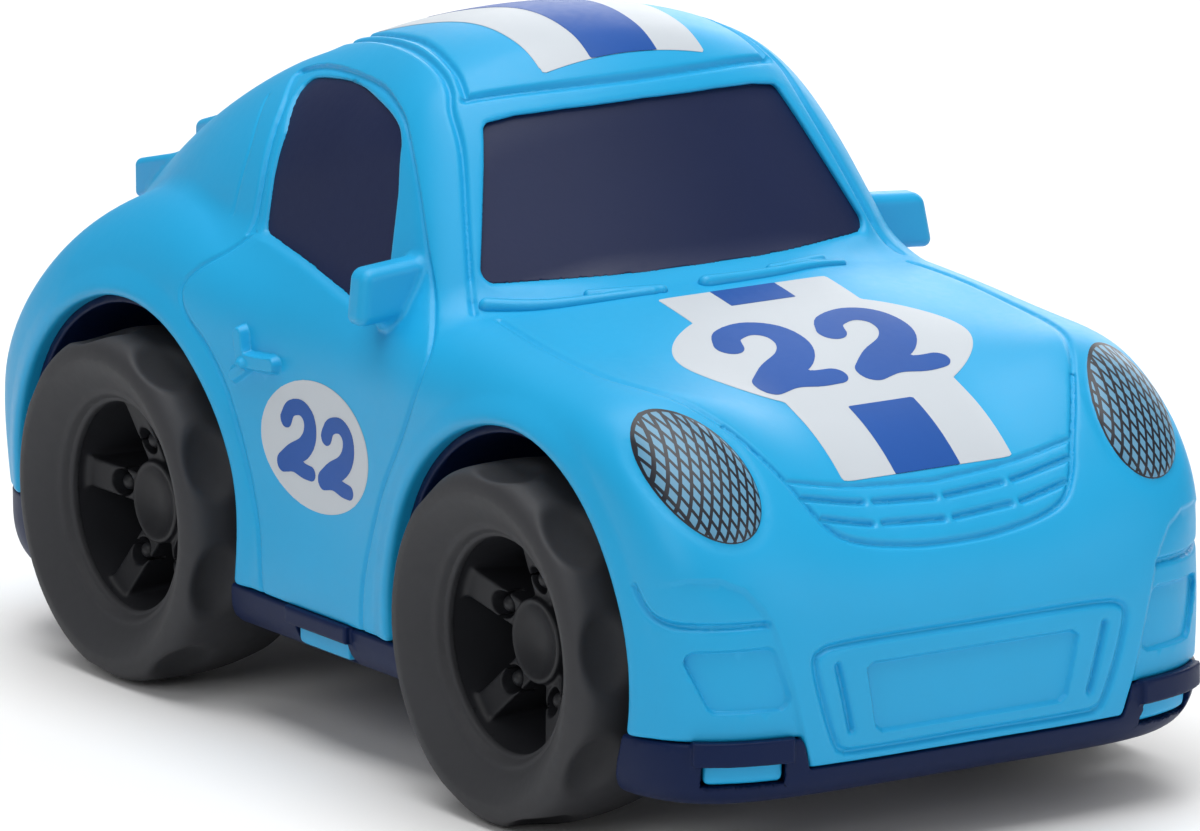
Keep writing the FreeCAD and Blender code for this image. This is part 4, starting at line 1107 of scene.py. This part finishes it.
class Nodes:
    """Short way to add shader nodes and join them."""

    def __init__(self, name):
        self.material = bpy.data.materials.new(name)
        self.material.use_nodes = True
        self.tree = self.material.node_tree
        self.shader = self.tree.nodes["Principled BSDF"]
        self.place = self.add("ShaderNodeTexCoord").outputs["Object"]

    def add(self, kind, **settings):
        node = self.tree.nodes.new(kind)
        for key, value in settings.items():
            if key in node.inputs:
                node.inputs[key].default_value = value
            else:
                setattr(node, key, value)
        return node

    def link(self, source, target):
        self.tree.links.new(source, target)

    def noise(self, scale, detail=2.0, stretch=None):
        node = self.add("ShaderNodeTexNoise", Scale=scale, Detail=detail)
        source = self.place
        if stretch:
            mapping = self.add("ShaderNodeMapping")
            mapping.inputs["Scale"].default_value = stretch
            self.link(source, mapping.inputs["Vector"])
            source = mapping.outputs["Vector"]
        self.link(source, node.inputs["Vector"])
        return node.outputs["Fac"]

    def blend(self, factor, low, high, near=0.35, far=0.65):
        """Colour ramp from low to high along a factor."""
        node = self.add("ShaderNodeValToRGB")
        ends = node.color_ramp.elements
        ends[0].position, ends[1].position = near, far
        ends[0].color, ends[1].color = (*low, 1), (*high, 1)
        self.link(factor, node.inputs["Fac"])
        return node.outputs["Color"]

    def math(self, operation, a, b=None):
        node = self.add("ShaderNodeMath", operation=operation)
        for socket, value in zip(node.inputs, (a, b)):
            if value is None:
                continue
            if isinstance(value, (int, float)):
                socket.default_value = value
            else:
                self.link(value, socket)
        return node.outputs["Value"]

    def bump(self, height, strength, distance):
        node = self.add("ShaderNodeBump", Strength=strength, Distance=distance)
        self.link(height, node.inputs["Height"])
        self.link(node.outputs["Normal"], self.shader.inputs["Normal"])


GRAIN_HEIGHT, LINE_HEIGHT = 0.00004, 0.00003
DRAWN_LINES = (40.0, 900.0, 900.0)
LAMP_GROUND, LAMP_INK = (96, 150, 182), (20, 24, 36)
LATTICE_LEAN, LATTICE_PITCH, LATTICE_INK = 0.45, 1.05, 0.16
LAMP_RIM = 0.975


def shade(colour, factor):
    return tuple(min(1.0, c * factor) for c in colour)


def moulded(name, colour, roughness, grain=2600.0, relief=0.10, mottle=0.04, **settings):
    """Injection moulded plastic: fine spark-eroded grain, faint flow mottling, uneven gloss."""
    nodes = Nodes(name)
    flow = nodes.noise(55.0, 3.0)
    nodes.link(nodes.blend(flow, shade(colour, 1 - mottle), shade(colour, 1 + mottle)),
               nodes.shader.inputs["Base Color"])
    gloss = nodes.math("MULTIPLY_ADD", nodes.noise(900.0, 2.0), 0.12)
    gloss.node.inputs[2].default_value = roughness - 0.06
    nodes.link(gloss, nodes.shader.inputs["Roughness"])
    nodes.bump(nodes.noise(grain, 2.0), relief, GRAIN_HEIGHT)
    for key, value in settings.items():
        nodes.shader.inputs[key.replace("_", " ")].default_value = value
    return nodes.material


def lattice(name):
    """Lamp print: a diamond net in dark ink over a pale ground, with a solid rim."""
    nodes = Nodes(name)
    axes = nodes.add("ShaderNodeSeparateXYZ")
    nodes.link(nodes.place, axes.inputs["Vector"])
    y = nodes.math("MULTIPLY", nodes.math("ABSOLUTE", axes.outputs["Y"]), 1000.0)
    z = nodes.math("MULTIPLY", axes.outputs["Z"], 1000.0)
    v = nodes.math("SUBTRACT", z, LAMP_CENTRE[1])
    u = nodes.math("SUBTRACT", y, LAMP_CENTRE[0])
    ink = None
    for lean in (LATTICE_LEAN, -LATTICE_LEAN):
        across = nodes.math("ADD", u, nodes.math("MULTIPLY", v, lean))
        turn = nodes.math("FRACT", nodes.math("ADD", nodes.math("DIVIDE", across, LATTICE_PITCH), 50.5))
        line = nodes.math("LESS_THAN", nodes.math("ABSOLUTE", nodes.math("SUBTRACT", turn, 0.5)), LATTICE_INK)
        ink = line if ink is None else nodes.math("MAXIMUM", ink, line)
    upright = nodes.math("SUBTRACT", u, nodes.math("MULTIPLY", v, LAMP_TILT))
    wide = nodes.math("DIVIDE", upright, LAMP_HALF[0])
    high = nodes.math("DIVIDE", v, LAMP_HALF[1])
    radius = nodes.math("SQRT", nodes.math("ADD", nodes.math("MULTIPLY", wide, wide),
                                           nodes.math("MULTIPLY", high, high)))
    ink = nodes.math("MAXIMUM", ink, nodes.math("GREATER_THAN", radius, LAMP_RIM))
    colour = nodes.blend(ink, srgb(*LAMP_GROUND), srgb(*LAMP_INK), 0.45, 0.55)
    nodes.link(colour, nodes.shader.inputs["Base Color"])
    nodes.shader.inputs["Roughness"].default_value = 0.42
    nodes.bump(nodes.noise(2600.0), 0.06, GRAIN_HEIGHT)
    return nodes.material


def metal(name, colour, roughness):
    """Drawn or turned metal with fine lines."""
    nodes = Nodes(name)
    lines = nodes.noise(1.0, 3.0, DRAWN_LINES)
    nodes.link(nodes.blend(lines, shade(colour, 0.86), shade(colour, 1.08)),
               nodes.shader.inputs["Base Color"])
    nodes.shader.inputs["Metallic"].default_value = 1.0
    nodes.shader.inputs["Roughness"].default_value = roughness
    nodes.bump(lines, 0.12, LINE_HEIGHT)
    return nodes.material


BODY_PLASTIC = moulded("body_plastic", srgb(26, 163, 217), 0.42, mottle=0.02, Specular_IOR_Level=0.35)
WINDOW_PLASTIC = moulded("window_plastic", srgb(14, 28, 66), 0.50, grain=1800.0, relief=0.28,
                         Specular_IOR_Level=0.35)
CHASSIS_PLASTIC = moulded("chassis_plastic", srgb(10, 28, 66), 0.45, Specular_IOR_Level=0.15)
TYRE_RUBBER = moulded("tyre_rubber", srgb(44, 45, 49), 0.66, grain=1500.0, relief=0.35, mottle=0.06)
HUB_PLASTIC = moulded("hub_plastic", srgb(33, 34, 38), 0.46, grain=1500.0, relief=0.2, Specular_IOR_Level=0.3)
CASE_PLASTIC = moulded("motor_case_plastic", srgb(205, 205, 200), 0.45)
GEAR_PLASTIC = moulded("gear_plastic", srgb(232, 228, 214), 0.38, mottle=0.03)
PRINT_WHITE = moulded("print_white", srgb(191, 198, 205), 0.48, relief=0.06, mottle=0.015)
PRINT_BLUE = moulded("print_blue", srgb(6, 76, 158), 0.45, relief=0.06, mottle=0.05, Specular_IOR_Level=0.3)
LAMP_PRINT = lattice("lamp_print")
AXLE_STEEL = metal("axle_steel", (0.56, 0.57, 0.58), 0.28)
SPRING_STEEL = metal("spring_steel", (0.33, 0.36, 0.44), 0.32)
SCREW_STEEL = metal("screw_steel", (0.50, 0.50, 0.52), 0.34)


def place(piece, body, slot, material, replaced=None):
    """Give a piece its material and body, and hide the CAD node that it stands for. The slot is not used."""
    piece.data.materials.clear()
    piece.data.materials.append(material)
    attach(piece, body)
    if replaced:
        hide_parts(replaced)


def finish_cad_nodes():
    looks = {
        CASE_PLASTIC: ("motor_case_left", "motor_case_right"),
        GEAR_PLASTIC: ("axle_pinion", "compound_gear", "spring_gear", "winding_pinion"),
        AXLE_STEEL: ("front_axle", "rear_axle", "compound_shaft", "winding_shaft", "spring_arbor"),
        SPRING_STEEL: ("mainspring",),
        SCREW_STEEL: ("motor_case_screws", "motor_mount_screws")}
    for material, names in looks.items():
        for name in names:
            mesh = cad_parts[name].data
            mesh.materials.clear()
            mesh.materials.append(material)


# ---------------------------------------------------------------- camera, floor and light

CAMERA_AZIMUTH, CAMERA_ELEVATION, CAMERA_ROLL = 57.22, 12.85, -0.33
CAMERA_DISTANCE = 1535.7
CAMERA_LENS, SENSOR = 416.1, 36.0
CAMERA_TARGET = (14.2, -7.67, 37.04)

FLOOR_HALF, FLOOR_SHADE = 1500, 0.90
WORLD_LIGHT = 0.22

# Name, place, the spot that it points at, size and power in watts of each light.
LIGHTS = (("key", (500, -900, 700), (0, 0, 30), (700, 700), 2.9),
          ("top", (0, 0, 1100), (0, 0, 0), (1200, 900), 13.0),
          ("fill", (1100, 500, 400), (0, 0, 30), (700, 600), 2.2),
          ("back", (-800, 900, 450), (0, 0, 30), (1000, 700), 6.0))


def standing(side, up, back, spot):
    """Matrix that turns an object's own axes to side, up and back, and sets it at spot."""
    rows = [[*row, at * MM] for row, at in zip(columns(side, up, back), spot)]
    return Matrix(rows + [[0, 0, 0, 1]])


def build_camera():
    azimuth, elevation, roll = (math.radians(v) for v in (CAMERA_AZIMUTH, CAMERA_ELEVATION, CAMERA_ROLL))
    back = np.array([math.sin(azimuth) * math.cos(elevation), -math.cos(azimuth) * math.cos(elevation),
                     math.sin(elevation)])
    level = np.array([math.cos(azimuth), math.sin(azimuth), 0.0])
    above = np.cross(back, level)
    right = math.cos(roll) * level + math.sin(roll) * above
    up = math.cos(roll) * above - math.sin(roll) * level
    camera = bpy.data.objects.new("camera", bpy.data.cameras.new("camera"))
    camera.data.lens = CAMERA_LENS
    camera.data.sensor_width = SENSOR
    camera.data.clip_end = 20
    camera.matrix_world = standing(right, up, back, np.array(CAMERA_TARGET) + back * CAMERA_DISTANCE)
    bpy.context.scene.collection.objects.link(camera)
    bpy.context.scene.camera = camera


def build_stage():
    points = [(FLOOR_HALF * x, FLOOR_HALF * y, 0) for x, y in ((-1, -1), (1, -1), (1, 1), (-1, 1))]
    floor = new_mesh("floor", points, [[0, 1, 2, 3]])
    material = bpy.data.materials.new("floor")
    material.use_nodes = True
    shader = material.node_tree.nodes["Principled BSDF"]
    shader.inputs["Base Color"].default_value = (FLOOR_SHADE, FLOOR_SHADE, FLOOR_SHADE, 1)
    shader.inputs["Roughness"].default_value = 0.9
    floor.data.materials.append(material)


def build_light(name, spot, aim, extent, power):
    light = bpy.data.lights.new(name, "AREA")
    light.shape = "RECTANGLE"
    light.size, light.size_y = (v * MM for v in extent)
    light.energy = power
    lamp = bpy.data.objects.new(name, light)
    back = np.array(spot, float) - np.array(aim, float)
    back /= np.linalg.norm(back)
    side = np.cross((0, 0, 1), back) if abs(back[2]) < 0.99 else np.array([1.0, 0, 0])
    side /= np.linalg.norm(side)
    up = np.cross(back, side)
    lamp.matrix_world = standing(side, up, back, spot)
    bpy.context.scene.collection.objects.link(lamp)


def build_lights():
    for light in LIGHTS:
        build_light(*light)
    world = bpy.data.worlds.new("world")
    bpy.context.scene.world = world
    world.use_nodes = True
    world.node_tree.nodes["Background"].inputs["Color"].default_value = (1, 1, 1, 1)
    world.node_tree.nodes["Background"].inputs["Strength"].default_value = WORLD_LIGHT
    bpy.context.scene.view_settings.view_transform = "Standard"


# ---------------------------------------------------------------- the model

build_camera()
build_stage()
build_lights()
build_body_shell()
build_windows()
build_chassis()
build_wheels()
build_wipers()
build_prints()
finish_cad_nodes()
